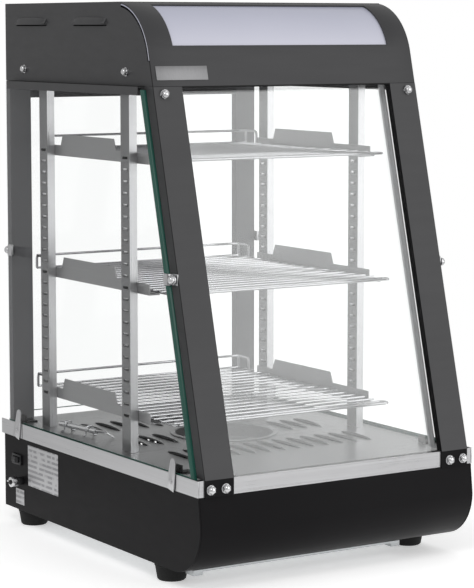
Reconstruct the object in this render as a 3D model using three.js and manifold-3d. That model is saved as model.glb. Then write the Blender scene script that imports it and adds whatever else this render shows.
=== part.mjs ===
// Countertop hot food display case: a heated base, three wire racks behind glass, and a lit hood.
// Millimetres. X runs across the case, -Y is the customer's side, Z is up.
import * as THREE from "three";
import { mergeVertices } from "three/addons/utils/BufferGeometryUtils.js";
import Module from "manifold-3d";

const wasm = await Module();
wasm.setup();

// ---- Overall sizes ----
const HEIGHT = 610;
const FRAME_WIDTH = 337.6;
const FRAME_DEPTH = 443.2;
const HOOD_HEIGHT = 88.5;
const POST_LEAN = 102.4; // how far the front posts lean back between the trim band and the hood

// ---- Sheet, glass and fits ----
const GAP = 0.3; // between pieces that touch
const SHEET = 1.5;
const TRIM = 1.2;
const GLASS = 4;
const GLASS_PLAY = 0.6;

// ---- Base ----
const FOOT_HEIGHT = 19;
const FOOT_TOP_RADIUS = 18.5;
const FOOT_BOTTOM_RADIUS = 15.5;
const FOOT_SIDE_INSET = 20.5;
const FOOT_FRONT_INSET = 89;
const FOOT_REAR_INSET = 34.5;
const BASE_HEIGHT = 85.7;
const BASE_CURVE_RADIUS = 53;
const BASE_BULGE = 3.5;
const BASE_UPPER_FLAT = 4;
const BASE_FLANGE = 8.5;
const BASE_TURN_IN = 22; // flat stretch of the front sheet under the base
const STRIP_LENGTH = 267;
const STRIP_OFFSET = -23.5;
const STRIP_DEPTH = 16;
const STRIP_FRONT_INSET = 42;
const STRIP_BLOCK = 12;
const STRIP_BLOCK_HEIGHT = 5;

// ---- Trim band, turn buttons and deck ----
const BAND_HEIGHT = 17.5;
const BAND_PROUD = 0.7;
const BAND_TAIL = 6.1; // past the frame's back
const DECK_DROP = 1.5;
const DECK_FRONT_INSET = 14.6;
const LOUVRE_LENGTH = 60;
const LOUVRE_WIDTH = 9;
const LOUVRE_PITCH = 19.3;
const LOUVRE_ROW_PITCH = 100;
const LOUVRE_SIDE_MARGIN = 46;
const PAN_OFFSET = 12; // behind the frame's middle
const PAN_RADIUS = 57;
const PAN_RIM = 5;
const PAN_DEPTH = 20;
const PAN_PLAY = 1.5;
const BUTTON_WIDTH = 10.5; // at the tip
const BUTTON_FOOT_WIDTH = 15;
const BUTTON_ARM = 26;
const BUTTON_TAIL = 9;
const BUTTON_RIVET_RADIUS = 1.8;
const BUTTON_HEAD_RADIUS = 2.8;
const BUTTON_HEAD_HEIGHT = 1.3;
const BUTTON_FRONT_INSET = 52;
const BUTTON_REAR_INSET = 36.5;
const BUTTON_FRONT_LEAN = 12; // degrees, towards the front
const BUTTON_REAR_LEAN = 14;

// ---- Frame ----
const POST_WIDTH = 34.7;
const POST_OUTER_RETURN = 25;
const POST_INNER_RETURN = 9;
const REAR_POST_WIDTH = 27;
const REAR_POST_DEPTH = 10.1;
const REAR_RAIL_HEIGHT = 20;
const FRONT_GLASS_DEPTH = 10; // from the posts' front face to the glass
const FRONT_GLASS_LAP = 16; // behind each post
const CHANNEL_HEIGHT = 9;
const CHANNEL_FRONT_SETBACK = 20;
const CHANNEL_REAR_INSET = 18;
const SIDE_GLASS_SETBACK = 12; // behind the posts' front face
const SIDE_GLASS_REAR_INSET = 10;
const GLASS_TOP_PLAY = 2;

// ---- Shelf uprights, brackets and racks ----
const UPRIGHT_WIDTH = 19;
const UPRIGHT_DEPTH = 9.4;
const UPRIGHT_SIDE_INSET = 13.8;
const UPRIGHT_FRONT_SETBACK = 76; // behind the hood's front edge
const UPRIGHT_REAR_INSET = 57;
const SLOT_PITCH = 12.8;
const SLOT_LENGTH = 11;
const SLOT_HEIGHT = 3;
const FIRST_SHELF_RISE = 34.5;
const TOP_SHELF_HEADROOM = 80;
const SHELF_NAMES = ["lower", "middle", "top"];
const BRACKET_EAR = 12; // height of the low ends
const BRACKET_WALL = 24.5; // height of the raised middle
const BRACKET_FRONT_OVERHANG = 25;
const BRACKET_REAR_OVERHANG = 2;
const BRACKET_WALL_FRONT = 38; // from the front upright's rear edge back to the raised middle
const BRACKET_WALL_SLANT = 5;
const BRACKET_FLANGE = 12;
const HOOK_LENGTH = 8;
const HOOK_HEIGHT = 2;
const HOOK_RISE = 6;
const WIRE = 3;
const WIRE_PITCH = 18;
const RACK_SIDE_PLAY = 2.5;
const RACK_DEPTHS = [323, 323, 292];
const RACK_OVERHANG = 48; // past the brackets' front end
const RACK_GLASS_GAP = 20;
const RACK_REAR_GAP = 6;
const RACK_LOOP = 12; // between the two front rods
const RACK_SIDE_ROD_INSET = 7;
const GUARD_HEIGHT = 17;
const GUARD_DEPTH = 24;

// ---- Hood ----
const HOOD_RADIUS = 71;
const ARC_STEPS = 12;
const COVER_SHORT = 9; // the cover stops this far before the curve runs out
const WINDOW_WIDTH = 277;
const WINDOW_SILL = 43; // above the hood's lower edge
const WINDOW_HEAD = 4; // below the hood's top
const DIFFUSER = 2.5;
const DIFFUSER_SILL = 27;
const REVEAL = 0.9; // shadow gap beside the diffuser's edge
const VENT_LENGTH = 75;
const VENT_SLIT = 2.5;
const VENT_LIP_HEIGHT = 6;
const VENT_LIP_PROUD = 3;
const VENT_DROP = 23;
const VENT_REAR_INSETS = [66, 205];
const HOOD_TAB_HEIGHT = 16;
const LAMP_RADIUS = 8;
const LAMP_LENGTH = 282;
const LAMP_CAP_LENGTH = 14;
const LAMP_DROP = 45;
const LAMP_BEHIND = 19; // in front of the curve's centre

// ---- Rear door ----
const DOOR_GAP = 1;
const DOOR_SILL = 7; // above the deck
const DOOR_HEAD = 5; // below the hood
const DOOR_SIDE_INSET = 4.8;
const HINGE_RAIL_WIDTH = 12.5;
const HINGE_RAIL_THICKNESS = 6.8;
const HINGE_PIN_RADIUS = 1.8;
const HINGE_PIN_PLAY = 0.4;
const HINGE_PIN_SETBACK = 2.5;
const HINGE_LUG = 2.6;
const HINGE_LUG_WIDTH = 9;
const HANDLE_LENGTH = 90;
const HANDLE_WIDTH = 10;
const HANDLE_BAR = 6;
const HANDLE_STAND_OFF = 18;
const HANDLE_INSET = 16;

// ---- Controls and connections ----
const SWITCH_LENGTH = 22;
const SWITCH_HEIGHT = 12;
const SWITCH_BEZEL = 2;
const SWITCH_LIP = 1.6;
const SWITCH_WALL = 1;
const SWITCH_BODY_DEPTH = 16;
const SWITCH_PROUD = 4;
const SWITCH_TILT = 8;
const SWITCH_PIVOT_DEPTH = 4;
const SWITCH_REAR_INSET = 33.6;
const SWITCH_RISE = 60;
const TERMINAL_REAR_INSET = 45;
const TERMINAL_RISE = 36;
const TERMINAL_SLEEVE_RADIUS = 5;
const TERMINAL_SLEEVE = 7;
const TERMINAL_BOLT_RADIUS = 2.5;
const TERMINAL_BOLT_END = 2;
const WING_HUB_RADIUS = 6;
const WING_HUB = 8;
const WING_SPAN = 19;
const WING_THICKNESS = 1.8;
const WING_BORE_PLAY = 0.5;
const KNOB_RADIUS = 19;
const KNOB_DEPTH = 17;
const KNOB_SKIRT = 3;
const KNOB_GRIP_RADIUS = 14;
const KNOB_SIDE = 92;
const KNOB_RISE = 43;
const SPINDLE_RADIUS = 3;
const SPINDLE_PLAY = 0.4;
const THERMOSTAT_SIZE = 34;
const THERMOSTAT_DEPTH = 26;
const GLAND_SIDE = -110;
const GLAND_RISE = 40;
const GLAND_RADIUS = 9;
const GLAND_NECK_RADIUS = 6;
const GLAND_BORE_RADIUS = 3.6;
const GLAND_DEPTH = 15;
const ELEMENT_RADIUS = 4;
const ELEMENT_DROP = 18;
const ELEMENT_SIDE_INSET = 55;
const ELEMENT_END_INSET = 70;
const ELEMENT_BEND = 30;
const REAR_VENT_COUNT = 7;
const REAR_VENT_PITCH = 10;
const REAR_VENT_LENGTH = 34;
const REAR_VENT_WIDTH = 3;

const ROUND_SIDES = 24;
const SMALL_SIDES = 12;
const MERGE_TOLERANCE = 1e-3;
const THROUGH = 1; // how far a cutter runs past the face it cuts

// ---- Levels and planes that follow from the sizes above ----
const frameHalf = FRAME_WIDTH / 2;
const frameFront = -FRAME_DEPTH / 2;
const frameRear = FRAME_DEPTH / 2;
const baseTop = FOOT_HEIGHT + BASE_HEIGHT;
const bandBottom = baseTop + GAP;
const bandTop = bandBottom + BAND_HEIGHT;
const deckTop = bandTop - DECK_DROP;
const hoodBottom = HEIGHT - HOOD_HEIGHT;
const postBottom = bandTop + GAP;
const glassInner = frameHalf + GAP + TRIM + GLASS_PLAY;
const glassOuter = glassInner + GLASS;
const bandInner = glassOuter + GLASS_PLAY;
const bandOuter = bandInner + TRIM;
const baseOuter = bandOuter - BAND_PROUD;
const baseInner = baseOuter - SHEET - GAP;
const postFront = frameFront - GAP - SHEET;
const lean = POST_LEAN / (hoodBottom - postBottom);
const leanSecant = Math.hypot(1, lean);
const frontAt = (z) => postFront + lean * (z - postBottom);
const hoodFront = frontAt(hoodBottom);
const arcCentreZ = HEIGHT - HOOD_RADIUS;
const arcCentreY = hoodFront + lean * (arcCentreZ - hoodBottom) + HOOD_RADIUS * leanSecant;
const coverEnd = arcCentreY - COVER_SHORT;
const uprightInner = frameHalf - UPRIGHT_SIDE_INSET - UPRIGHT_DEPTH;
const frontUprightFace = hoodFront + UPRIGHT_FRONT_SETBACK;
const rearUprightFace = frameRear - UPRIGHT_REAR_INSET - UPRIGHT_WIDTH;
const chamberTop = hoodBottom - GAP;
const shelfSpan = chamberTop - deckTop - FIRST_SHELF_RISE - TOP_SHELF_HEADROOM;
const slotsPerShelf = Math.floor(shelfSpan / (SHELF_NAMES.length - 1) / SLOT_PITCH);
const shelfLevel = (i) => deckTop + FIRST_SHELF_RISE + i * slotsPerShelf * SLOT_PITCH;
const bracketOuter = uprightInner - GAP;
const bracketInner = bracketOuter - TRIM;
const bracketFront = frontUprightFace - BRACKET_FRONT_OVERHANG;
const bracketRear = rearUprightFace + UPRIGHT_WIDTH + BRACKET_REAR_OVERHANG;
const rackHalf = bracketInner - RACK_SIDE_PLAY;
const doorFront = frameRear + DOOR_GAP;
const doorBottom = deckTop + DOOR_SILL;
const doorTop = hoodBottom - DOOR_HEAD;
const doorHalf = frameHalf - DOOR_SIDE_INSET;
const hingeMiddle = doorFront + HINGE_RAIL_THICKNESS / 2;
const hingePin = [doorHalf + HINGE_PIN_SETBACK, hingeMiddle];
const handleFace = hingeMiddle + GLASS / 2 + GAP;
const handleReach = handleFace + HANDLE_STAND_OFF + HANDLE_BAR;
const terminalReach = baseOuter + TERMINAL_SLEEVE + WING_HUB + GAP + TERMINAL_BOLT_END;
const buttonReach = bandOuter + GAP + SHEET + BUTTON_HEAD_HEIGHT;
const bulgeReach = frameFront - BASE_BULGE;

// ---- Finishes ----
const finish = (color, roughness, metalness, extra = {}) =>
  new THREE.MeshStandardMaterial({ color, roughness, metalness, ...extra });
const FINISHES = {
  charcoal: () => finish(0x46464a, 0.5, 0.1),
  black: () => finish(0x242326, 0.4, 0.1),
  stainless: () => finish(0xb9babb, 0.3, 0.9),
  chrome: () => finish(0xd8d9da, 0.12, 1),
  zinc: () => finish(0xa7abae, 0.4, 0.8),
  rubber: () => finish(0x121212, 0.9, 0),
  plastic: () => finish(0x17171a, 0.5, 0),
  glass: () => finish(0xd9efe8, 0.05, 0, { transparent: true, opacity: 0.25 }),
  acrylic: () => finish(0xdedfec, 0.35, 0),
};

// ---- Solids ----
// Turns a closed geometry into a solid, with its faces pointing out.
function solid(geometry) {
  const bare = geometry.index ? geometry.toNonIndexed() : geometry.clone();
  bare.deleteAttribute("normal");
  bare.deleteAttribute("uv");
  const merged = mergeVertices(bare, MERGE_TOLERANCE);
  const index = merged.index.array;
  const kept = [];
  for (let i = 0; i < index.length; i += 3) {
    const [a, b, c] = [index[i], index[i + 1], index[i + 2]];
    if (a !== b && b !== c && c !== a) kept.push(a, b, c);
  }
  const made = fromTriangles(merged.attributes.position.array, kept);
  if (made.volume() > 0) return made;
  for (let i = 0; i < kept.length; i += 3) [kept[i + 1], kept[i + 2]] = [kept[i + 2], kept[i + 1]];
  return fromTriangles(merged.attributes.position.array, kept);
}

function fromTriangles(positions, triangles) {
  const mesh = new wasm.Mesh({
    numProp: 3,
    vertProperties: new Float32Array(positions),
    triVerts: new Uint32Array(triangles),
  });
  return new wasm.Manifold(mesh);
}

// Gives a solid's surface back as a geometry.
function geometryOf(body) {
  const mesh = body.getMesh();
  const positions = new Float32Array(mesh.numVert * 3);
  for (let i = 0; i < mesh.numVert; i++) {
    const start = i * mesh.numProp;
    positions.set(mesh.vertProperties.subarray(start, start + 3), i * 3);
  }
  const geometry = new THREE.BufferGeometry();
  geometry.setAttribute("position", new THREE.BufferAttribute(positions, 3));
  geometry.setIndex(new THREE.BufferAttribute(new Uint32Array(mesh.triVerts), 1));
  geometry.computeVertexNormals();
  return geometry;
}

const joined = (bodies) => bodies.reduce((sum, body) => sum.add(body));
const cut = (body, cutters) => cutters.reduce((rest, cutter) => rest.subtract(cutter), body);

// A block between two corners.
function block([x0, x1], [y0, y1], [z0, z1]) {
  const box = new THREE.BoxGeometry(x1 - x0, y1 - y0, z1 - z0);
  return solid(box.translate((x0 + x1) / 2, (y0 + y1) / 2, (z0 + z1) / 2));
}

function shapeOf(points) {
  return new THREE.Shape(points.map(([a, b]) => new THREE.Vector2(a, b)));
}

// An outline in X and Y, raised along Z.
function prismZ(points, [z0, z1]) {
  const flat = new THREE.ExtrudeGeometry(shapeOf(points), { depth: z1 - z0, bevelEnabled: false });
  return flat.translate(0, 0, z0);
}

// An outline in Y and Z, drawn out along X.
function prismX(points, [x0, x1]) {
  const flat = new THREE.ExtrudeGeometry(shapeOf(points), { depth: x1 - x0, bevelEnabled: false });
  const turn = new THREE.Matrix4().makeBasis(
    new THREE.Vector3(0, 1, 0),
    new THREE.Vector3(0, 0, 1),
    new THREE.Vector3(1, 0, 0),
  );
  return flat.applyMatrix4(turn).translate(x0, 0, 0);
}

// Leans a geometry back by the posts' slope; the level that stays put is the posts' foot.
function leaned(geometry) {
  const shear = new THREE.Matrix4().makeShear(0, 0, 0, 0, 0, lean);
  return geometry.translate(0, 0, -postBottom).applyMatrix4(shear).translate(0, 0, postBottom);
}

function rod(radius, length, sides = SMALL_SIDES) {
  return new THREE.CylinderGeometry(radius, radius, length, sides);
}
const rodZ = (radius, [z0, z1], sides) =>
  rod(radius, z1 - z0, sides).rotateX(Math.PI / 2).translate(0, 0, (z0 + z1) / 2);
const rodX = (radius, [x0, x1], sides) =>
  rod(radius, x1 - x0, sides).rotateZ(Math.PI / 2).translate((x0 + x1) / 2, 0, 0);
const rodY = (radius, [y0, y1], sides) =>
  rod(radius, y1 - y0, sides).translate(0, (y0 + y1) / 2, 0);

// A turned piece about Z from a profile of [radius, height].
function turned(profile, sides = ROUND_SIDES) {
  const points = profile.map(([r, z]) => new THREE.Vector2(r, z));
  return solid(new THREE.LatheGeometry(points, sides).rotateX(Math.PI / 2));
}

// ---- Placing ----
const casing = new THREE.Group();
casing.position.set((terminalReach - buttonReach) / 2, -(handleReach + bulgeReach) / 2, 0);

function place(name, body, look, position = [0, 0, 0], side = 1, tilt = 0) {
  const mesh = new THREE.Mesh(geometryOf(body), FINISHES[look]());
  mesh.name = name;
  mesh.position.set(...position);
  mesh.rotation.x = THREE.MathUtils.degToRad(tilt);
  mesh.scale.x = side;
  casing.add(mesh);
  return mesh;
}

// Pieces that come in a left and a right hand are drawn on the right, at +X, and mirrored.
const HANDS = [["left", -1], ["right", 1]];
function placePair(stem, body, look, position = [0, 0, 0], tilt = 0) {
  const [x, y, z] = position;
  for (const [hand, side] of HANDS) {
    place(stem + "_" + hand, body, look, [x * side, y, z], side, tilt);
  }
}

// ---- Base ----
// The base's side outline in Y and Z, set in by a sheet's thickness where asked.
function baseCurve(inset) {
  const radius = BASE_CURVE_RADIUS - inset;
  const centre = [bulgeReach + BASE_CURVE_RADIUS, FOOT_HEIGHT + BASE_CURVE_RADIUS];
  const points = [
    [frameFront + inset, baseTop - inset],
    [frameFront + inset, baseTop - BASE_UPPER_FLAT],
  ];
  for (let i = 0; i <= ARC_STEPS; i++) {
    const angle = Math.PI + (i / ARC_STEPS) * (Math.PI / 2);
    points.push([centre[0] + radius * Math.cos(angle), centre[1] + radius * Math.sin(angle)]);
  }
  return points;
}

function baseSide() {
  const outline = [...baseCurve(0), [frameRear, FOOT_HEIGHT], [frameRear, baseTop]];
  const plate = solid(prismX(outline, [baseOuter - SHEET, baseOuter]));
  const flange = block(
    [baseOuter - BASE_FLANGE, baseOuter - SHEET / 2],
    [frameFront + BASE_FLANGE, frameRear - SHEET - GAP],
    [baseTop - SHEET, baseTop],
  );
  return joined([plate, flange]);
}

function leftBaseSide() {
  const { y: switchY, z: switchZ } = switchPlace;
  const hole = block(
    [baseOuter - SHEET - THROUGH, baseOuter + THROUGH],
    [switchY - SWITCH_LENGTH / 2 + SWITCH_LIP - GAP, switchY + SWITCH_LENGTH / 2 - SWITCH_LIP + GAP],
    [switchZ - SWITCH_HEIGHT / 2 + SWITCH_LIP - GAP, switchZ + SWITCH_HEIGHT / 2 - SWITCH_LIP + GAP],
  );
  const bolt = rodX(TERMINAL_BOLT_RADIUS + GAP, [baseOuter - SHEET - THROUGH, baseOuter + THROUGH]);
  return cut(baseSide(), [hole, solid(bolt.translate(0, terminalPlace.y, terminalPlace.z))]);
}

function baseFront() {
  const turnIn = bulgeReach + BASE_CURVE_RADIUS + BASE_TURN_IN;
  const outline = [
    [frameFront + BASE_FLANGE, baseTop],
    [frameFront, baseTop],
    ...baseCurve(0).slice(1),
    [turnIn, FOOT_HEIGHT],
    [turnIn, FOOT_HEIGHT + SHEET],
    ...baseCurve(SHEET).reverse(),
    [frameFront + BASE_FLANGE, baseTop - SHEET],
  ];
  return solid(prismX(outline, [-baseInner, baseInner]));
}

function baseBottom() {
  const front = bulgeReach + BASE_CURVE_RADIUS + BASE_TURN_IN + GAP;
  return block(
    [-baseInner, baseInner],
    [front, frameRear - SHEET - GAP],
    [FOOT_HEIGHT, FOOT_HEIGHT + SHEET],
  );
}

function baseRear() {
  const panel = block(
    [-baseInner, baseInner],
    [frameRear - SHEET, frameRear],
    [FOOT_HEIGHT, baseTop],
  );
  const span = [frameRear - SHEET - THROUGH, frameRear + THROUGH];
  const cutters = [
    solid(rodY(SPINDLE_RADIUS + SPINDLE_PLAY, span).translate(KNOB_SIDE, 0, knobZ)),
    solid(rodY(GLAND_NECK_RADIUS + GAP, span).translate(GLAND_SIDE, 0, glandZ)),
  ];
  for (let i = 0; i < REAR_VENT_COUNT; i++) {
    const x = (i - (REAR_VENT_COUNT - 1) / 2) * REAR_VENT_PITCH;
    cutters.push(
      block(
        [x - REAR_VENT_WIDTH / 2, x + REAR_VENT_WIDTH / 2],
        span,
        [knobZ - REAR_VENT_LENGTH / 2, knobZ + REAR_VENT_LENGTH / 2],
      ),
    );
  }
  return cut(panel, cutters);
}

// A strip screwed under the front of the base, with a block at each end.
function underStrip() {
  const across = [-STRIP_LENGTH / 2, STRIP_LENGTH / 2].map((x) => x + STRIP_OFFSET);
  const deep = [frameFront + STRIP_FRONT_INSET, frameFront + STRIP_FRONT_INSET + STRIP_DEPTH];
  const top = FOOT_HEIGHT - GAP;
  const plate = block(across, deep, [top - SHEET, top]);
  const blocks = [across[0], across[1] - STRIP_BLOCK].map((x) =>
    block([x, x + STRIP_BLOCK], deep, [top - SHEET - STRIP_BLOCK_HEIGHT, top - SHEET / 2]),
  );
  return joined([plate, ...blocks]);
}

function foot() {
  const top = FOOT_HEIGHT - GAP;
  const chamfer = FOOT_TOP_RADIUS - FOOT_BOTTOM_RADIUS;
  return turned([
    [0, 0],
    [FOOT_BOTTOM_RADIUS - chamfer / 3, 0],
    [FOOT_BOTTOM_RADIUS, chamfer / 3],
    [FOOT_TOP_RADIUS, top - chamfer],
    [FOOT_TOP_RADIUS, top],
    [0, top],
  ]);
}

// ---- Trim band and deck ----
const buttonFrontY = frameFront + BUTTON_FRONT_INSET;
const buttonRearY = frameRear - BUTTON_REAR_INSET;
const buttonZ = (bandBottom + bandTop) / 2;

function bandSide() {
  const strip = block(
    [bandInner, bandOuter],
    [frameFront, frameRear + BAND_TAIL],
    [bandBottom, bandTop],
  );
  const holes = [buttonFrontY, buttonRearY].map((y) => {
    const hole = rodX(BUTTON_RIVET_RADIUS + GAP, [bandInner - THROUGH, bandOuter + THROUGH]);
    return solid(hole.translate(0, y, buttonZ));
  });
  return cut(strip, holes);
}

function bandFront() {
  const half = bandInner - GAP;
  return block([-half, half], [frameFront, frameFront + TRIM], [bandBottom, bandTop]);
}

function lens(length, width) {
  const points = [];
  const steps = 4;
  for (const side of [1, -1]) {
    for (let i = 0; i < steps; i++) {
      const along = side * (length / 2) * Math.cos((i / steps) * Math.PI);
      const across = side * (width / 2) * Math.sin((i / steps) * Math.PI);
      points.push([across, along]);
    }
  }
  return points;
}

// Louvre slots in three rows; the middle row leaves out the water pan's place.
function louvrePlaces() {
  const reach = frameHalf - LOUVRE_SIDE_MARGIN;
  const half = Math.floor(reach / LOUVRE_PITCH);
  const panClear = PAN_RADIUS + PAN_RIM + LOUVRE_WIDTH;
  const places = [];
  for (const row of [-1, 0, 1]) {
    for (let i = -half; i <= half; i++) {
      const x = i * LOUVRE_PITCH;
      if (row !== 0 || Math.abs(x) > panClear) places.push([x, PAN_OFFSET + row * LOUVRE_ROW_PITCH]);
    }
  }
  return places;
}

function deck() {
  const half = frameHalf - GAP;
  const [front, rear] = [frameFront + DECK_FRONT_INSET, frameRear];
  const shell = block([-half, half], [front, rear], [bandBottom, deckTop]);
  const inside = block(
    [TRIM - half, half - TRIM],
    [front + TRIM, rear - TRIM],
    [bandBottom - THROUGH, deckTop - TRIM],
  );
  const slots = louvrePlaces().map(([x, y]) => {
    const slot = prismZ(lens(LOUVRE_LENGTH, LOUVRE_WIDTH), [deckTop - TRIM - THROUGH, deckTop + THROUGH]);
    return solid(slot.translate(x, y, 0));
  });
  const span = [deckTop - TRIM - THROUGH, deckTop + THROUGH];
  const mouth = rodZ(PAN_RADIUS + PAN_PLAY, span, ROUND_SIDES).translate(0, PAN_OFFSET, 0);
  return cut(shell, [inside, solid(mouth), ...slots]);
}

function waterPan() {
  const rimRadius = PAN_RADIUS + PAN_RIM;
  return turned([
    [0, -PAN_DEPTH],
    [PAN_RADIUS - PAN_RIM, -PAN_DEPTH],
    [PAN_RADIUS, PAN_RIM - PAN_DEPTH],
    [PAN_RADIUS, 0],
    [rimRadius, 0],
    [rimRadius, TRIM],
    [PAN_RADIUS - TRIM, TRIM],
    [PAN_RADIUS - TRIM, PAN_RIM - PAN_DEPTH + TRIM / 2],
    [PAN_RADIUS - PAN_RIM - TRIM / 2, TRIM - PAN_DEPTH],
    [0, TRIM - PAN_DEPTH],
  ]);
}

// A turn button: a strip with round ends on a rivet, pivot at the origin, arm up.
function turnButton() {
  const half = BUTTON_WIDTH / 2;
  const outline = [];
  for (let i = 0; i <= SMALL_SIDES / 2; i++) {
    const angle = (i / (SMALL_SIDES / 2)) * Math.PI;
    outline.push([half * Math.cos(angle), BUTTON_ARM - half + half * Math.sin(angle)]);
  }
  outline.push([-BUTTON_FOOT_WIDTH / 2, -BUTTON_TAIL], [BUTTON_FOOT_WIDTH / 2, -BUTTON_TAIL]);
  const strip = solid(prismX(outline, [GAP, GAP + SHEET]));
  const headEnd = GAP + SHEET + BUTTON_HEAD_HEIGHT;
  const head = solid(rodX(BUTTON_HEAD_RADIUS, [GAP + SHEET / 2, headEnd]));
  const shank = solid(rodX(BUTTON_RIVET_RADIUS, [GAP - TRIM, GAP + SHEET / 2]));
  return joined([strip, head, shank]);
}

// ---- Frame ----
function frontPost() {
  const [inner, outer] = [frameHalf - POST_WIDTH, frameHalf];
  const section = [
    [inner, postFront],
    [outer, postFront],
    [outer, postFront + POST_OUTER_RETURN],
    [outer - SHEET, postFront + POST_OUTER_RETURN],
    [outer - SHEET, postFront + SHEET],
    [inner + SHEET, postFront + SHEET],
    [inner + SHEET, postFront + POST_INNER_RETURN],
    [inner, postFront + POST_INNER_RETURN],
  ];
  const channel = solid(leaned(prismZ(section, [postBottom, chamberTop])));
  const plate = block([inner, outer], [postFront, frameFront - GAP], [baseTop - GAP, postBottom + GAP]);
  return joined([channel, plate]);
}

function rearPost() {
  const inner = frameHalf - REAR_POST_WIDTH;
  const front = frameRear - REAR_POST_DEPTH;
  const tube = block([inner, frameHalf], [front, frameRear], [deckTop + GAP, chamberTop]);
  const bore = block(
    [inner + SHEET, frameHalf - SHEET],
    [front + SHEET, frameRear - SHEET],
    [deckTop + GAP - THROUGH, chamberTop + THROUGH],
  );
  return cut(tube, [bore]);
}

// The door turns on pins in two lugs welded to this post.
function hingePost() {
  const [pinX, pinY] = hingePin;
  const lugs = [doorBottom - GAP - HINGE_LUG, doorTop + GAP].map((z) => {
    const lug = block(
      [pinX - HINGE_LUG_WIDTH / 2, pinX + HINGE_LUG_WIDTH / 2],
      [frameRear - SHEET / 2, pinY + HINGE_LUG_WIDTH / 2],
      [z, z + HINGE_LUG],
    );
    const span = [z - THROUGH, z + HINGE_LUG + THROUGH];
    return cut(lug, [solid(rodZ(HINGE_PIN_RADIUS + HINGE_PIN_PLAY, span).translate(pinX, pinY, 0))]);
  });
  return joined([rearPost(), ...lugs]);
}

function rearTopRail() {
  const half = frameHalf - REAR_POST_WIDTH - GAP;
  const front = frameRear - REAR_POST_DEPTH;
  const bottom = chamberTop - REAR_RAIL_HEIGHT;
  const tube = block([-half, half], [front, frameRear], [bottom, chamberTop]);
  const bore = block(
    [-half - THROUGH, half + THROUGH],
    [front + SHEET, frameRear - SHEET],
    [bottom + SHEET, chamberTop - SHEET],
  );
  return cut(tube, [bore]);
}

function glassChannel() {
  const inner = frameHalf + GAP;
  const span = [hoodFront + CHANNEL_FRONT_SETBACK, frameRear - CHANNEL_REAR_INSET];
  const bar = block([inner, bandOuter], span, [chamberTop - CHANNEL_HEIGHT, chamberTop]);
  const groove = block(
    [inner + TRIM, bandInner],
    [span[0] - THROUGH, span[1] + THROUGH],
    [chamberTop - CHANNEL_HEIGHT - THROUGH, chamberTop - TRIM],
  );
  return cut(bar, [groove]);
}

function sideGlass() {
  const bottom = bandBottom + GAP;
  const top = chamberTop - TRIM - GLASS_TOP_PLAY;
  const rear = frameRear - SIDE_GLASS_REAR_INSET;
  const outline = [
    [frontAt(bottom) + SIDE_GLASS_SETBACK, bottom],
    [frontAt(top) + SIDE_GLASS_SETBACK, top],
    [rear, top],
    [rear, bottom],
  ];
  return solid(prismX(outline, [glassInner, glassOuter]));
}

function frontGlass() {
  const half = frameHalf - POST_WIDTH + FRONT_GLASS_LAP;
  const front = postFront + FRONT_GLASS_DEPTH;
  const bottom = bandBottom + GAP;
  const pane = new THREE.BoxGeometry(2 * half, GLASS, chamberTop - bottom);
  return solid(leaned(pane.translate(0, front + GLASS / 2, (bottom + chamberTop) / 2)));
}

// ---- Shelf uprights and brackets ----
const slotLevels = [];
for (let i = 0; i <= slotsPerShelf * (SHELF_NAMES.length - 1); i++) {
  slotLevels.push(deckTop + FIRST_SHELF_RISE + HOOK_RISE + i * SLOT_PITCH);
}

function upright(face) {
  const [inner, outer] = [uprightInner, uprightInner + UPRIGHT_DEPTH];
  const [bottom, top] = [deckTop + GAP, chamberTop];
  const tube = block([inner, outer], [face, face + UPRIGHT_WIDTH], [bottom, top]);
  const bore = block(
    [inner + TRIM, outer - TRIM],
    [face + TRIM, face + UPRIGHT_WIDTH - TRIM],
    [bottom - THROUGH, top + THROUGH],
  );
  const middle = face + UPRIGHT_WIDTH / 2;
  const slots = slotLevels.map((z) =>
    block(
      [inner - THROUGH, outer + THROUGH],
      [middle - SLOT_LENGTH / 2, middle + SLOT_LENGTH / 2],
      [z - SLOT_HEIGHT / 2, z + SLOT_HEIGHT / 2],
    ),
  );
  return cut(tube, [bore, ...slots]);
}

// Level 0 is the bracket's lower edge.
function bracket() {
  const wallFront = frontUprightFace + UPRIGHT_WIDTH / 2 + BRACKET_WALL_FRONT;
  const wallRear = rearUprightFace - (wallFront - frontUprightFace - UPRIGHT_WIDTH) / 2;
  const outline = [
    [bracketFront, 0],
    [bracketRear, 0],
    [bracketRear, BRACKET_EAR],
    [wallRear, BRACKET_EAR],
    [wallRear - BRACKET_WALL_SLANT, BRACKET_WALL],
    [wallFront + BRACKET_WALL_SLANT, BRACKET_WALL],
    [wallFront, BRACKET_EAR],
    [bracketFront, BRACKET_EAR],
  ];
  const wall = solid(prismX(outline, [bracketInner, bracketOuter]));
  const flange = block(
    [bracketInner - BRACKET_FLANGE, bracketInner + TRIM / 2],
    [bracketFront, bracketRear],
    [0, TRIM],
  );
  const hooks = [frontUprightFace, rearUprightFace].map((face) => {
    const middle = face + UPRIGHT_WIDTH / 2;
    return block(
      [bracketOuter - TRIM / 2, uprightInner + TRIM + GAP],
      [middle - HOOK_LENGTH / 2, middle + HOOK_LENGTH / 2],
      [HOOK_RISE - HOOK_HEIGHT / 2, HOOK_RISE + HOOK_HEIGHT / 2],
    );
  });
  return joined([wall, flange, ...hooks]);
}

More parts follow.
